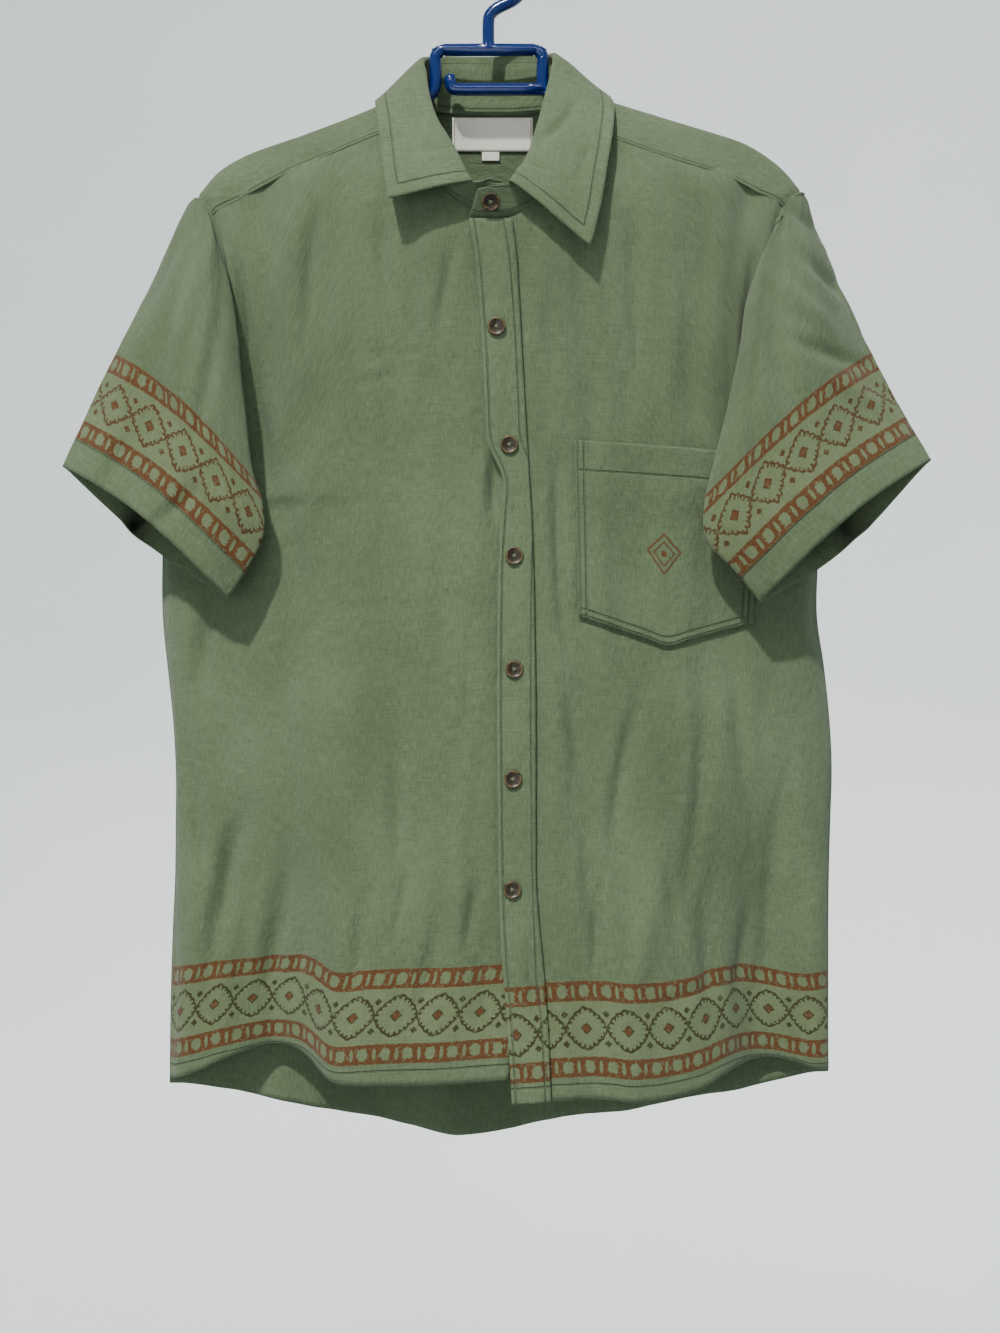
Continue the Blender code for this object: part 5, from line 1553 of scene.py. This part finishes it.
def cloth_material(name, margin=None, shift=0.0, motif=None, tint=1.0, seams=(), ink=OUTLINE, bow=HEM_BOW):
    """Crinkled sage cotton in its flat pattern, with the printed band if a margin is given."""
    material, tree, shader = new_material(name, 0.88, sheen=0.12, specular=0.15)
    u, v = pattern_place(tree)
    slub = speckle(tree, u * 0.9, v * 0.13, 4.0, 0.65)
    weft = speckle(tree, u * 0.06, v * 0.95, 3.0, 0.6, 5.0)
    fleck = speckle(tree, u * 0.62, v * 0.3, 2.0, 0.6, 11.0)
    crush = speckle(tree, u * 0.22, v * 0.11, 3.0, 0.55, 17.0)
    cloud = speckle(tree, u * 0.012, v * 0.009, 2.0, 0.5, 23.0)
    # Tone from slubs, weft streaks and clouds is the cloth's own; the crush term adds painted shade, darker
    # in the crush hollows that the bump also makes.
    grain_and_crush_shade = (slub * 0.5 + weft * 0.3 + cloud * 0.35 + crush * 0.1).soft(0.42, 0.85)
    light = tuple(part * tint for part in SAGE_LIGHT)
    dark = tuple(part * tint for part in SAGE_DARK)
    colour = blend_colour(tree, grain_and_crush_shade, dark, light)
    colour = blend_colour(tree, fleck.soft(0.63, 0.76) * 0.55, colour, FLECK)
    wear = speckle(tree, u * 0.35, v * 0.35, 3.0, 0.6, 31.0)
    if margin is not None:
        wobble = speckle(tree, u * 0.42, v * 0.42, 2.0, 0.5, 37.0) - 0.5
        print_u = u + shift + wobble * 1.6
        print_v = v - margin + (speckle(tree, u * 0.3, v * 0.3, 2.0, 0.5, 41.0) - 0.5) * 1.8
        outline, centre = medallion_print(print_u, print_v, bow)
        rail = rail_print(print_u, print_v, wobble)
        ground = print_v.soft(-0.5, 0.5) * print_v.soft(68.1, 67.1) * 0.28
        colour = blend_colour(tree, ground, colour, BAND_GROUND)
        taken = wear.soft(0.2, 0.5) * 0.93
        colour = blend_colour(tree, outline * taken, colour, ink)
        colour = blend_colour(tree, rail.most(centre) * taken, colour, RUST)
    if motif is not None:
        side, up = abs(u - motif[0]), abs(v - motif[1])
        diamond = side + up + (wear - 0.5) * 1.2
        rings = abs(diamond - 12.0).soft(1.1, 0.6).most(abs(diamond - 7.4).soft(0.9, 0.5))
        petals = ((side - up) ** 2.0 + (side * up) * 0.9).soft(3.0, 2.0) * diamond.soft(7.0, 6.4)
        colour = blend_colour(tree, rings.most(petals).most(diamond.soft(2.4, 1.9)) * 0.9, colour, RUST)
    height = slub * 0.6
    if seams:
        # Painted shade: the stitched grooves are painted darker towards the fleck colour, as well as pressed
        # in by the bump.
        marks = seam_pull_and_shade(tree, u, v, seams)
        colour = blend_colour(tree, marks * 0.5, colour, FLECK)
        height = height - marks * 1.1
    tree.links.new(colour, shader.inputs["Base Color"])
    warp = (u * (math.pi / 0.42)).sine() * (v * (math.pi / 0.46)).sine()
    height = height + warp * 0.06 + weft * 0.4 + crush * 1.2 + fleck * 0.15
    raise_surface(tree, shader, height, strength=0.9)
    return material


def thread_material():
    material, tree, shader = new_material("sage sewing thread", 0.6, sheen=0.2)
    place = tree.nodes.new("ShaderNodeTexCoord")
    split = tree.nodes.new("ShaderNodeSeparateXYZ")
    tree.links.new(place.outputs["Object"], split.inputs[0])
    x, z = Amount(tree, split.outputs["X"]) / MM, Amount(tree, split.outputs["Z"]) / MM
    twist_with_groove_shade = ((x + z) * 9.0).sine()
    # Painted shade: the grooves between the twisted plies are painted darker, and the same twist is bumped.
    colour = blend_colour(tree, twist_with_groove_shade.soft(-0.6, 0.6), tuple(0.7 * part for part in THREAD), THREAD)
    tree.links.new(colour, shader.inputs["Base Color"])
    raise_surface(tree, shader, twist_with_groove_shade * 0.04)
    return material


def tape_material():
    material, tree, shader = new_material("cream woven tape", 0.7, sheen=0.1)
    u, v = pattern_place(tree)
    rib = (u * (math.pi / 0.5)).sine() * (v * (math.pi / 0.35)).sine()
    stain = speckle(tree, u * 0.15, v * 0.15, 3.0, 0.6)
    colour = blend_colour(tree, stain, (0.70, 0.68, 0.58), (0.80, 0.78, 0.69))
    tree.links.new(colour, shader.inputs["Base Color"])
    raise_surface(tree, shader, rib * 0.06 + stain * 0.15)
    return material


def object_place(tree):
    place = tree.nodes.new("ShaderNodeTexCoord")
    split = tree.nodes.new("ShaderNodeSeparateXYZ")
    tree.links.new(place.outputs["Object"], split.inputs[0])
    return tuple(Amount(tree, split.outputs[axis]) / MM for axis in "XYZ")


def plastic_material():
    """Navy moulded plastic with faint flow marks and rubbed spots."""
    material, tree, shader = new_material("glossy navy plastic", 0.2, specular=0.5)
    x, y, z = object_place(tree)
    flow = speckle(tree, x * 0.05, z * 0.05, 4.0, 0.6, y * 0.05)
    rub = speckle(tree, x * 0.5, z * 0.5, 4.0, 0.7, y * 0.5)
    colour = blend_colour(tree, flow, (0.0006, 0.010, 0.075), (0.0015, 0.018, 0.125))
    tree.links.new(colour, shader.inputs["Base Color"])
    gloss = rub * 0.16 + 0.06
    tree.links.new(gloss.socket, shader.inputs["Roughness"])
    raise_surface(tree, shader, flow * 0.12 + rub * 0.02)
    return material


def horn_material(centre):
    """Dark brown horn-look resin: a lighter mottled rim and a dark dished face."""
    material, tree, shader = new_material("brown horn resin", 0.36, specular=0.35)
    x, y, z = object_place(tree)
    away = ((x - centre.x) ** 2.0 + (z - centre.z) ** 2.0) ** 0.5
    cloud = speckle(tree, x * 0.35, z * 0.35, 4.0, 0.65, y * 0.4)
    rim = (away + (cloud - 0.5) * 2.0).soft(4.2, 5.4) * (away.soft(6.6, 6.0))
    colour = blend_colour(tree, cloud, (0.008, 0.005, 0.003), (0.036, 0.022, 0.011))
    colour = blend_colour(tree, rim * cloud.soft(0.3, 0.6) * 0.8, colour, (0.128, 0.088, 0.036))
    tree.links.new(colour, shader.inputs["Base Color"])
    raise_surface(tree, shader, cloud * 0.08)
    return material


def stage_material():
    material, tree, shader = new_material("pale stage", 0.8)
    x, y, z = object_place(tree)
    tone = speckle(tree, x * 0.002, y * 0.002, 2.0, 0.5, z * 0.002)
    colour = blend_colour(tree, tone, (0.70, 0.745, 0.75), (0.76, 0.80, 0.80))
    tree.links.new(colour, shader.inputs["Base Color"])
    return material


def push(sheet, height, keep=1.0):
    """The sheet moved in by a height at each point."""
    sheet.points = sheet.points - sheet.square() * (height * keep)[:, :, None]
    return sheet


def body_crumple(face, x, z):
    """How far the body's cloth is pushed in at a place, the same for all that lies on it."""
    if face == "front":
        return crease_height(FRONT_CREASES, x, z) + crinkle_height(x, z, 1.0)
    return crease_height(BACK_CREASES, x, z) + crinkle_height(x, z, 50.0)


def front_sheet(side):
    points = refine(front_grid(side, FRONT_COLUMNS), FRONT_FINE)
    outside = -1 if side == "right" else 1
    keep = hold(points, 0, last=False) * hold(points, 1, last=False, reach=30.0)
    sheet = Sheet(points, outside, 0.0, 0.0)
    x, z = points[:, :, 0], points[:, :, 2]
    push(sheet, body_crumple("front", x, z) + crease_height(FLY_GAPE, x, z), keep)
    points = tuck(sheet.points, outside, 1, True, 4.0, 1.3)
    points = tuck(points, outside, 0, True, 5.0, 1.2)
    up = running(points, 1, True)
    lift = sum(np.exp(-((points[:, :, 0] - x) / wide) ** 2) for x, wide in HEM_TILTS)
    return Sheet(points, outside, running(points, 0, True), up * (1.0 + 0.12 * lift) + 10.0 * lift)


def back_sheet():
    points = refine(back_grid(BACK_COLUMNS), BACK_FINE)
    keep = hold(points, 0) * hold(points, 1, last=False)
    sheet = push(Sheet(points, 1, 0.0, 0.0), body_crumple("back", points[:, :, 0], points[:, :, 2]), keep)
    points = tuck(sheet.points, 1, 1, True, 4.0, 1.3)
    points = tuck(points, 1, 0, True, 1.3, -0.2)
    points = tuck(points, 1, 0, False, 1.3, -0.2)
    return Sheet(points, 1, running(points, 0), running(points, 1, True))


def yoke_sheet():
    points = refine(yoke_grid(YOKE_ROWS), YOKE_FINE)
    keep = hold(points, 0) * hold(points, 1)
    sheet = Sheet(points, 1, 0.0, 0.0)
    push(sheet, crinkle_height(points[:, :, 1] * 2.0, points[:, :, 0], 90.0) * 0.5, keep)
    inside = np.minimum(running(sheet.points, 0), running(sheet.points, 0, True))
    lap = np.clip(inside[:, :1] / 16.0, 0.05, 1.0)
    wider = sum(np.exp(-((sheet.points[:, :1, 0] - x) / reach) ** 2) for x, reach in YOKE_LAPS)
    points = tuck(sheet.points, 1, 1, True, (2.8 + 1.9 * wider) * lap, -0.55 * lap)
    points = tuck(points, 1, 1, False, 1.2 * lap, -0.1 * lap)
    points = tuck(points, 1, 0, True, 5.0, 1.6)
    points = tuck(points, 1, 0, False, 5.0, 1.6)
    return Sheet(points, 1, running(points, 1), running(points, 0))


def sleeve_sheet(side):
    points = refine(sleeve_grid(side, SLEEVE_STEPS), SLEEVE_FINE, closed=True)
    outside = 1 if side == "right" else -1
    round_the_cuff = running(points[-1:], 1)
    along_it = running(points, 0, True)
    square = facing(points, outside, True)
    front = np.clip(-square[:, :, 1] * 1.6, 0.0, 1.0)
    x, z = points[:, :, 0], points[:, :, 2]
    height = crease_height(SLEEVE_CREASES, x, z) * front
    height += crease_height(SLEEVE_CREASES, x, z + 30.0) * (1.0 - front) * 0.4
    height += crinkle_height(round_the_cuff + 0.0 * along_it, along_it, 130.0 + outside) * 0.7
    head = np.clip((z + 245.0) / 30.0, 0.0, 1.0) * np.exp(-running(points, 0) / 20.0)
    sheet = push(Sheet(points, outside, 0.0, 0.0, True), height, hold(points, 0, last=False, reach=14.0))
    push(sheet, head * HEAD_IN)
    sheet.points[:, -1] = sheet.points[:, 0]
    return Sheet(sheet.points, outside, round_the_cuff, running(sheet.points, 0, True), True)


def stand_sheet():
    points = refine(stand_grid(40), STAND_FINE)
    points = tuck(points, -1, 1, True, 3.5, 1.3)
    points = tuck(points, -1, 1, False, 1.5, 0.0)
    return Sheet(points, -1, running(points, 0), running(points, 1))


def fall_sheet():
    points = refine(fall_grid(32, FALL_ROWS), FALL_FINE)
    sheet = Sheet(points, 1, 0.0, 0.0)
    across, down = running(points, 0), running(points, 1)
    keep = np.clip(down / 14.0, 0.0, 1.0) * np.clip(running(points, 1, True) / 60.0 + 0.35, 0.0, 1.0)
    rumple = crease_height(COLLAR_CREASES, points[:, :, 0], points[:, :, 2])
    push(sheet, rumple + crinkle_height(across, down * 3.0, 170.0) * 0.3 - 0.25, keep)
    edge = running(points, 1, True).copy()
    end = np.minimum(running(points, 0), running(points, 0, True))
    seam = np.exp(-((np.minimum(edge, end) - COLLAR_STITCH) / 1.3) ** 2)
    push(sheet, seam * 0.35)
    across = running(sheet.points, 0)
    across = across / across[-1:] * float(np.median(across[-1]))
    return Sheet(sheet.points, 1, across, running(sheet.points, 1, True))


def placket_sheet():
    points = refine(placket_grid(24), PLACKET_FINE)
    sheet = Sheet(points, -1, 0.0, 0.0)
    keep = hold(points, 1, last=False)
    push(sheet, body_crumple("front", points[:, :, 0], points[:, :, 2]) - 0.75, keep)
    across = running(points, 0)
    edge = np.minimum(across, running(points, 0, True))
    seam = np.exp(-((edge - PLACKET_STITCH) / 1.2) ** 2)
    push(sheet, seam * 0.35 + np.exp(-(edge / 1.1) ** 2) * 0.35)
    return Sheet(sheet.points, -1, running(sheet.points, 0), running(sheet.points, 1, True))


def pocket_sheet():
    points = refine(pocket_grid(POCKET_CELLS), POCKET_FINE)
    sheet = Sheet(points, -1, 0.0, 0.0)
    push(sheet, body_crumple("front", points[:, :, 0], points[:, :, 2]) - 0.8)
    side = np.minimum(running(points, 0), running(points, 0, True))
    up, down = running(points, 1, True), running(points, 1)
    low = np.minimum(side, up)
    share = np.clip(down / (down + up + 1e-6) * 2.0 - 0.4, 0.0, 1.0)
    push(sheet, 0.7 * np.exp(-(low / 2.6) ** 2) + 0.35 * np.exp(-((low - 6.0) / 1.4) ** 2))
    push(sheet, 0.4 * np.exp(-((down - POCKET_HEM) / 1.3) ** 2) - 1.2 * np.exp(-(down / 9.0) ** 2))
    middle = float(np.median(down[:, -1]))
    return Sheet(sheet.points, -1, running(sheet.points, 0), (1.0 - share) * (middle - down) + share * up)


def tape_sheet(width, top, low, middle, cells):
    points = refine(tape_grid(width, top, low, middle, cells), TAPE_FINE)
    return Sheet(points, -1, running(points, 0), running(points, 1, True))


def tab_sheet():
    """The size tab's tape, folded double with its fold at the bottom."""
    leaf = refine(tape_grid(TAB_WIDTH, LABEL_LOW - 0.4, TAB_LOW, TAB_X, 2), TAPE_FINE)
    lift = facing(leaf, -1) * 0.32
    fold = leaf[:, -1:] + (leaf[:, -1:] - leaf[:, -2:-1]) * 0.3
    points = np.concatenate([leaf + lift, fold, (leaf - lift)[:, ::-1]], axis=1)
    return Sheet(points, -1, running(points, 0), running(points, 1, True))


def round_bar(name, points, fine=3):
    """A round bar along a smooth path, closed by a flat cap at each end, in metres."""
    path = [through(points, place / fine) for place in range((len(points) - 1) * fine + 1)]
    curve = bpy.data.curves.new(name, "CURVE")
    curve.dimensions = "3D"
    curve.bevel_depth = TUBE * MM
    curve.bevel_resolution = 6
    curve.use_fill_caps = True
    spline = curve.splines.new("POLY")
    spline.points.add(len(path) - 1)
    for spot, point in zip(spline.points, path):
        spot.co = (point.x * MM, point.y * MM, point.z * MM, 1.0)
    holder = placed(name, curve)
    mesh = bpy.data.meshes.new_from_object(holder.evaluated_get(bpy.context.evaluated_depsgraph_get()))
    bpy.data.objects.remove(holder)
    shape = bmesh.new()
    shape.from_mesh(mesh)
    bmesh.ops.remove_doubles(shape, verts=shape.verts, dist=0.01 * MM)
    bmesh.ops.recalc_face_normals(shape, faces=shape.faces)
    shape.to_mesh(mesh)
    shape.free()
    bar = placed(name, mesh)
    return bar


def ball(name, place):
    shape = bmesh.new()
    bmesh.ops.create_uvsphere(shape, u_segments=24, v_segments=14, radius=TUBE * 0.995 * MM)
    bmesh.ops.translate(shape, verts=shape.verts, vec=place * MM)
    mesh = mesh_from(shape, name)
    item = placed(name, mesh)
    return item


def moulded_hanger(look):
    """The hanger's bars joined in one moulded piece, with rounded ends."""
    hook, rest = hook_points(), rest_points()
    bars = [round_bar("frame_bar", frame_points()), round_bar("hook_bar", hook), round_bar("rest_bar", rest)]
    bars += [ball("hook_end", hook[-1]), ball("rest_end", rest[-1])]
    whole = bars[0]
    for cutter in bars[1:]:
        joint = whole.modifiers.new(cutter.name, "BOOLEAN")
        joint.operation = "UNION"
        joint.object = cutter
    mesh = bpy.data.meshes.new_from_object(whole.evaluated_get(bpy.context.evaluated_depsgraph_get()))
    for bar in bars:
        bpy.data.objects.remove(bar)
    mesh.name = "hanger_moulded"
    mesh.shade_smooth()
    mesh.materials.clear()
    mesh.materials.append(look)
    piece = placed("hanger_moulded", mesh)
    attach(piece, "root")
    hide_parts("hanger")
    return piece


def button_shape():
    """A turned button with four holes, its face towards -Y, its back at the origin."""
    shape = bmesh.new()
    path = [(r * BUTTON_RADIUS * MM, -h * BUTTON_THICK * MM, 0.0) for r, h in BUTTON_PROFILE]
    turned(shape, path, (0, 1, 0), 40, 1e-6)
    bmesh.ops.recalc_face_normals(shape, faces=shape.faces)
    mesh = mesh_from(shape, "button_blank")
    blank = placed("button_blank", mesh)
    drill = bmesh.new()
    for x in (-HOLE_OFF, HOLE_OFF):
        for z in (-HOLE_OFF, HOLE_OFF):
            place = Matrix.Translation((x * MM, -1.4 * MM, z * MM)) @ Matrix.Rotation(math.pi / 2, 4, "X")
            bmesh.ops.create_cone(drill, cap_ends=True, segments=14, radius1=HOLE_RADIUS * MM,
                                  radius2=HOLE_RADIUS * MM, depth=6.0 * MM, matrix=place)
    bit_mesh = mesh_from(drill, "drill")
    bit = placed("drill", bit_mesh)
    cut = blank.modifiers.new("holes", "BOOLEAN")
    cut.operation = "DIFFERENCE"
    cut.object = bit
    done = bpy.data.meshes.new_from_object(blank.evaluated_get(bpy.context.evaluated_depsgraph_get()))
    bpy.data.objects.remove(blank)
    bpy.data.objects.remove(bit)
    return done


def thread_cross():
    """Two crossed turns of thread over a button's holes."""
    shape = bmesh.new()
    for lean in (45.0, -45.0):
        for off in (-0.3, 0.3):
            place = (Matrix.Translation((0.0, -0.72 * BUTTON_THICK * MM, 0.0))
                     @ Matrix.Rotation(math.radians(lean), 4, "Y") @ Matrix.Translation((0.0, 0.0, off * MM))
                     @ Matrix.Rotation(math.pi / 2, 4, "Y"))
            bmesh.ops.create_cone(shape, cap_ends=True, segments=8, radius1=0.3 * MM, radius2=0.3 * MM,
                                  depth=2.2 * HOLE_OFF * 1.3 * MM, matrix=place)
    return mesh_from(shape, "button_thread")


def button_places():
    """Where each button sits on the cloth, and the way it faces: the stand's first."""
    stations = stand_stations()
    seams, rolls = seam_places(stations), roll_points(stations)
    spot = len(stations) - 1 - STAND_BUTTON_BACK
    before, here, after = (stand_section(stations, seams, rolls, spot + step) for step in (-0.2, 0.0, 0.2))
    way = (after[0] - before[0]).cross(here[1] - here[0]).normalized()
    if way.y > 0.0:
        way.negate()
    places = [(mix(here[0], here[1], 0.5) + way * (CLOTH / 2 + STAND_BUTTON_SEAT - 0.3), way)]
    seat = LAYER * 2 + CLOTH / 2 + 0.15
    for button in BUTTONS:
        here = body_point("front", button.x, button.z)
        way = body_point("front", button.x, button.z, 1.0) - here
        sunk = body_crumple("front", np.array([[button.x]]), np.array([[button.z]]))[0, 0]
        places.append((here + Vector((0.0, sunk - seat, 0.0)), way))
    return places


def sew_buttons(thread):
    blank, cross = button_shape(), thread_cross()
    for number, (place, way) in enumerate(button_places(), 1):
        turn = Vector((0.0, -1.0, 0.0)).rotation_difference(way).to_matrix().to_4x4()
        spin = Matrix.Rotation(math.radians(BUTTON_TURNS[number - 1]), 4, "Y")
        move = Matrix.Translation(place * MM) @ turn @ spin
        for name, pattern, look in (("button_%d_horn" % number, blank, horn_material(place)),
                                    ("button_%d_thread" % number, cross, thread)):
            mesh = pattern.copy()
            mesh.name = name
            mesh.transform(move)
            mesh.shade_smooth()
            mesh.materials.clear()
            mesh.materials.append(look)
            piece = placed(name, mesh)
            if pattern is blank:
                crisp = piece.modifiers.new("crisp edges", "BEVEL")
                crisp.width = 0.12 * MM
                crisp.segments = 2
                crisp.limit_method = "ANGLE"
                crisp.angle_limit = math.radians(40.0)
                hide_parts("button_%d" % number)
            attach(piece, "root")


def buttonhole_lines(sheet):
    """Close stitches round an upright slit at each front button."""
    lines = []
    centre = sheet.points[sheet.points.shape[0] // 2]
    for button in BUTTONS:
        for side in (-0.8, 0.8):
            rows = np.arange(button.z + 9.0, button.z - 9.0, -0.8)
            order = np.argsort(centre[:, 2])
            y = np.interp(rows, centre[order, 2], centre[order, 1]) - 0.75
            x = np.full_like(rows, button.x + side)
            points = np.stack([x, y, rows], axis=1)
            lines.append((points, np.tile((0.0, -1.0, 0.0), (len(rows), 1))))
    return lines


def dress(thread, tape):
    """Makes every cloth piece with its stitching."""
    hem = cloth_material("sage cotton with hem print", HEM_MARGIN, HEM_SHIFT,
                         seams=[("v", HEM_STITCH, *ALL_ALONG)])
    cuff = cloth_material("sage cotton with cuff print", CUFF_MARGIN, CUFF_SHIFT, ink=CUFF_OUTLINE,
                          bow=CUFF_BOW, seams=[("v", CUFF_STITCH, *ALL_ALONG)])
    plain = cloth_material("plain sage cotton")
    lift = SHEET / 2 + 0.12
    band_lift = BAND_CLOTH / 2 + 0.12

    def finish(node, sheet, lines, looks, wall=SHEET, pitch=3.1):
        stitches = [sew(node + "_stitching", lines, thread, pitch)] if lines else []
        wrap(node + "_cloth", sheet, node, looks, wall)

    for side in ("right", "left"):
        sheet = front_sheet(side)
        lines = [sheet.line(sheet.v, HEM_STITCH, 1, lift)]
        finish("front_" + side, sheet, lines, [hem, plain])
        sheet = sleeve_sheet(side)
        lines = [sheet.line(sheet.v, CUFF_STITCH, 0, lift)]
        finish("sleeve_" + side, sheet, lines, [cuff, plain])
    sheet = back_sheet()
    finish("back", sheet, [sheet.line(sheet.v, HEM_STITCH, 1, lift)], [hem, plain])
    sheet = yoke_sheet()
    width = float(sheet.u.max())
    yoke = cloth_material("yoke cotton", seams=[("u", 2.4, *ALL_ALONG), ("u", width - 2.4, *ALL_ALONG)])
    lines = [sheet.line(sheet.u, 2.2, 1, lift), sheet.line(running(sheet.points, 1, True), 2.2, 1, lift)]
    finish("yoke", sheet, lines, [yoke, plain])
    sheet = stand_sheet()
    stand = cloth_material("collar stand cotton", tint=1.06, seams=[
        ("v", 5.5, *ALL_ALONG), ("v", 24.0, *ALL_ALONG)])
    lines = [sheet.line(sheet.v, 6.0, 1, band_lift), sheet.line(sheet.v, 5.0, 1, -band_lift),
             sheet.line(running(sheet.points, 1, True), 4.5, 1, -band_lift)]
    finish("collar_stand", sheet, lines, [stand], BAND_CLOTH)
    sheet = fall_sheet()
    ends = running(sheet.points, 0)
    length = float(np.median(sheet.u[-1]))
    collar = cloth_material("collar cotton", tint=1.06, seams=[
        ("v", COLLAR_STITCH, COLLAR_STITCH, length - COLLAR_STITCH), ("u", COLLAR_STITCH, COLLAR_STITCH, 1e3),
        ("u", length - COLLAR_STITCH, COLLAR_STITCH, 1e3)])
    lines = [sheet.line(sheet.v, COLLAR_STITCH, 1, band_lift, 0.045, 0.955)]
    for field in (ends, running(sheet.points, 0, True)):
        lines.append(sheet.line(field, COLLAR_STITCH, 0, band_lift, 0.3, 0.9))
    finish("collar_fall", sheet, lines, [collar], BAND_CLOTH)
    sheet = placket_sheet()
    width = float(np.median(sheet.u[-1]))
    band = cloth_material("placket cotton with hem print", HEM_MARGIN - 1.5, PLACKET_SHIFT, tint=1.04, seams=[
        ("u", PLACKET_STITCH, *ALL_ALONG), ("u", width - PLACKET_STITCH, *ALL_ALONG),
        ("v", HEM_STITCH, *ALL_ALONG)])
    sides = (sheet.u, running(sheet.points, 0, True))
    lines = [sheet.line(field, PLACKET_STITCH, 0, band_lift) for field in sides]
    lines.append(sheet.line(sheet.v, HEM_STITCH, 1, band_lift))
    finish("placket", sheet, lines, [band], BAND_CLOTH)
    sew("buttonhole_stitching", buttonhole_lines(sheet), thread, 0.9)
    sheet = pocket_sheet()
    width, height = float(np.median(sheet.u[-1])), float(np.median(sheet.v[:, 0]))
    rows = [("u", place, *ALL_ALONG) for off in POCKET_STITCHES for place in (off, width - off)]
    rows += [("v", place, 2.0, width - 2.0) for place in (*POCKET_STITCHES, height - POCKET_HEM)]
    pocket = cloth_material("pocket cotton", motif=POCKET_MOTIF, seams=rows)
    sides = [sheet.u, running(sheet.points, 0, True)]
    lines = [sheet.line(field, off, 0, lift) for field in sides for off in POCKET_STITCHES]
    lines += [sheet.line(sheet.v, off, 1, lift) for off in POCKET_STITCHES]
    lines.append(sheet.line(running(sheet.points, 1), POCKET_HEM, 1, lift))
    finish("pocket", sheet, lines, [pocket])
    sheet = tape_sheet(LABEL_WIDTH, LABEL_TOP, LABEL_LOW, LABEL_X, 6)
    lines = [sheet.line(field, 1.6, 0, 0.45) for field in (sheet.u, running(sheet.points, 0, True))]
    finish("neck_label", sheet, lines, [tape], 0.5, 2.0)
    finish("size_tab", tab_sheet(), [], [tape], 0.35)


def sunlight():
    """A hard key from above and the front left, a soft fill, a long strip light and a pale world light."""
    key = bpy.data.lights.new("key", "SUN")
    key.energy = 4.4
    key.angle = math.radians(2.6)
    key.color = (1.0, 0.985, 0.95)
    lamp = bpy.data.objects.new("key", key)
    lamp.rotation_euler = Vector(KEY_FROM).to_track_quat("Z", "Y").to_euler()
    bpy.context.scene.collection.objects.link(lamp)
    fill = bpy.data.lights.new("fill", "AREA")
    fill.energy = 16.0
    fill.size = 1.6
    soft = bpy.data.objects.new("fill", fill)
    soft.location = (-0.7, -2.2, -0.8)
    aim = Vector((0.0, 0.0, -0.55)) - soft.location
    soft.rotation_euler = (-aim).to_track_quat("Z", "Y").to_euler()
    bpy.context.scene.collection.objects.link(soft)
    tube = bpy.data.lights.new("tube", "AREA")
    tube.shape = "RECTANGLE"
    tube.size = 1.5
    tube.size_y = 0.1
    tube.energy = 7.0
    strip = bpy.data.objects.new("tube", tube)
    strip.location = (-0.15, -1.1, 0.75)
    aim = Vector((0.0, 0.0, -0.3)) - strip.location
    strip.rotation_euler = (-aim).to_track_quat("Z", "Y").to_euler()
    bpy.context.scene.collection.objects.link(strip)
    world = bpy.data.worlds.new("pale room light")
    world.use_nodes = True
    world.node_tree.nodes["Background"].inputs["Color"].default_value = (0.80, 0.88, 0.90, 1.0)
    world.node_tree.nodes["Background"].inputs["Strength"].default_value = 0.5
    bpy.context.scene.world = world


def round_stage():
    shape = bmesh.new()
    corner = STAGE_RADIUS - STAGE_CURVE
    path = [(0.0, STAGE_FLOOR), (corner, STAGE_FLOOR)]
    path += [(corner + STAGE_CURVE * math.sin(a), STAGE_FLOOR + STAGE_CURVE * (1.0 - math.cos(a)))
             for a in (math.radians(step * 7.5) for step in range(1, 13))]
    path.append((STAGE_RADIUS, STAGE_TOP))
    turned(shape, [(r, 0.0, z) for r, z in path], (0, 0, 1), 96, 1e-5)
    mesh = mesh_from(shape, "pale_stage")
    mesh.shade_smooth()
    mesh.materials.append(stage_material())
    stage = placed("pale_stage", mesh)


def camera():
    """The photograph's view: level with the shirt's middle and straight on."""
    lens = bpy.data.cameras.new("camera")
    lens.sensor_fit = "VERTICAL"
    lens.sensor_height = 24.0
    lens.lens = lens.sensor_height * CAMERA_AWAY / VIEW_HEIGHT
    lens.clip_start = 0.02
    item = bpy.data.objects.new("camera", lens)
    item.location = (VIEW_X, -CAMERA_AWAY, VIEW_Z)
    item.rotation_euler = (math.pi / 2, 0.0, 0.0)
    bpy.context.scene.collection.objects.link(item)
    bpy.context.scene.camera = item


def main():
    camera()
    sunlight()
    round_stage()
    thread = thread_material()
    moulded_hanger(plastic_material())
    dress(thread, tape_material())
    sew_buttons(thread)


main()
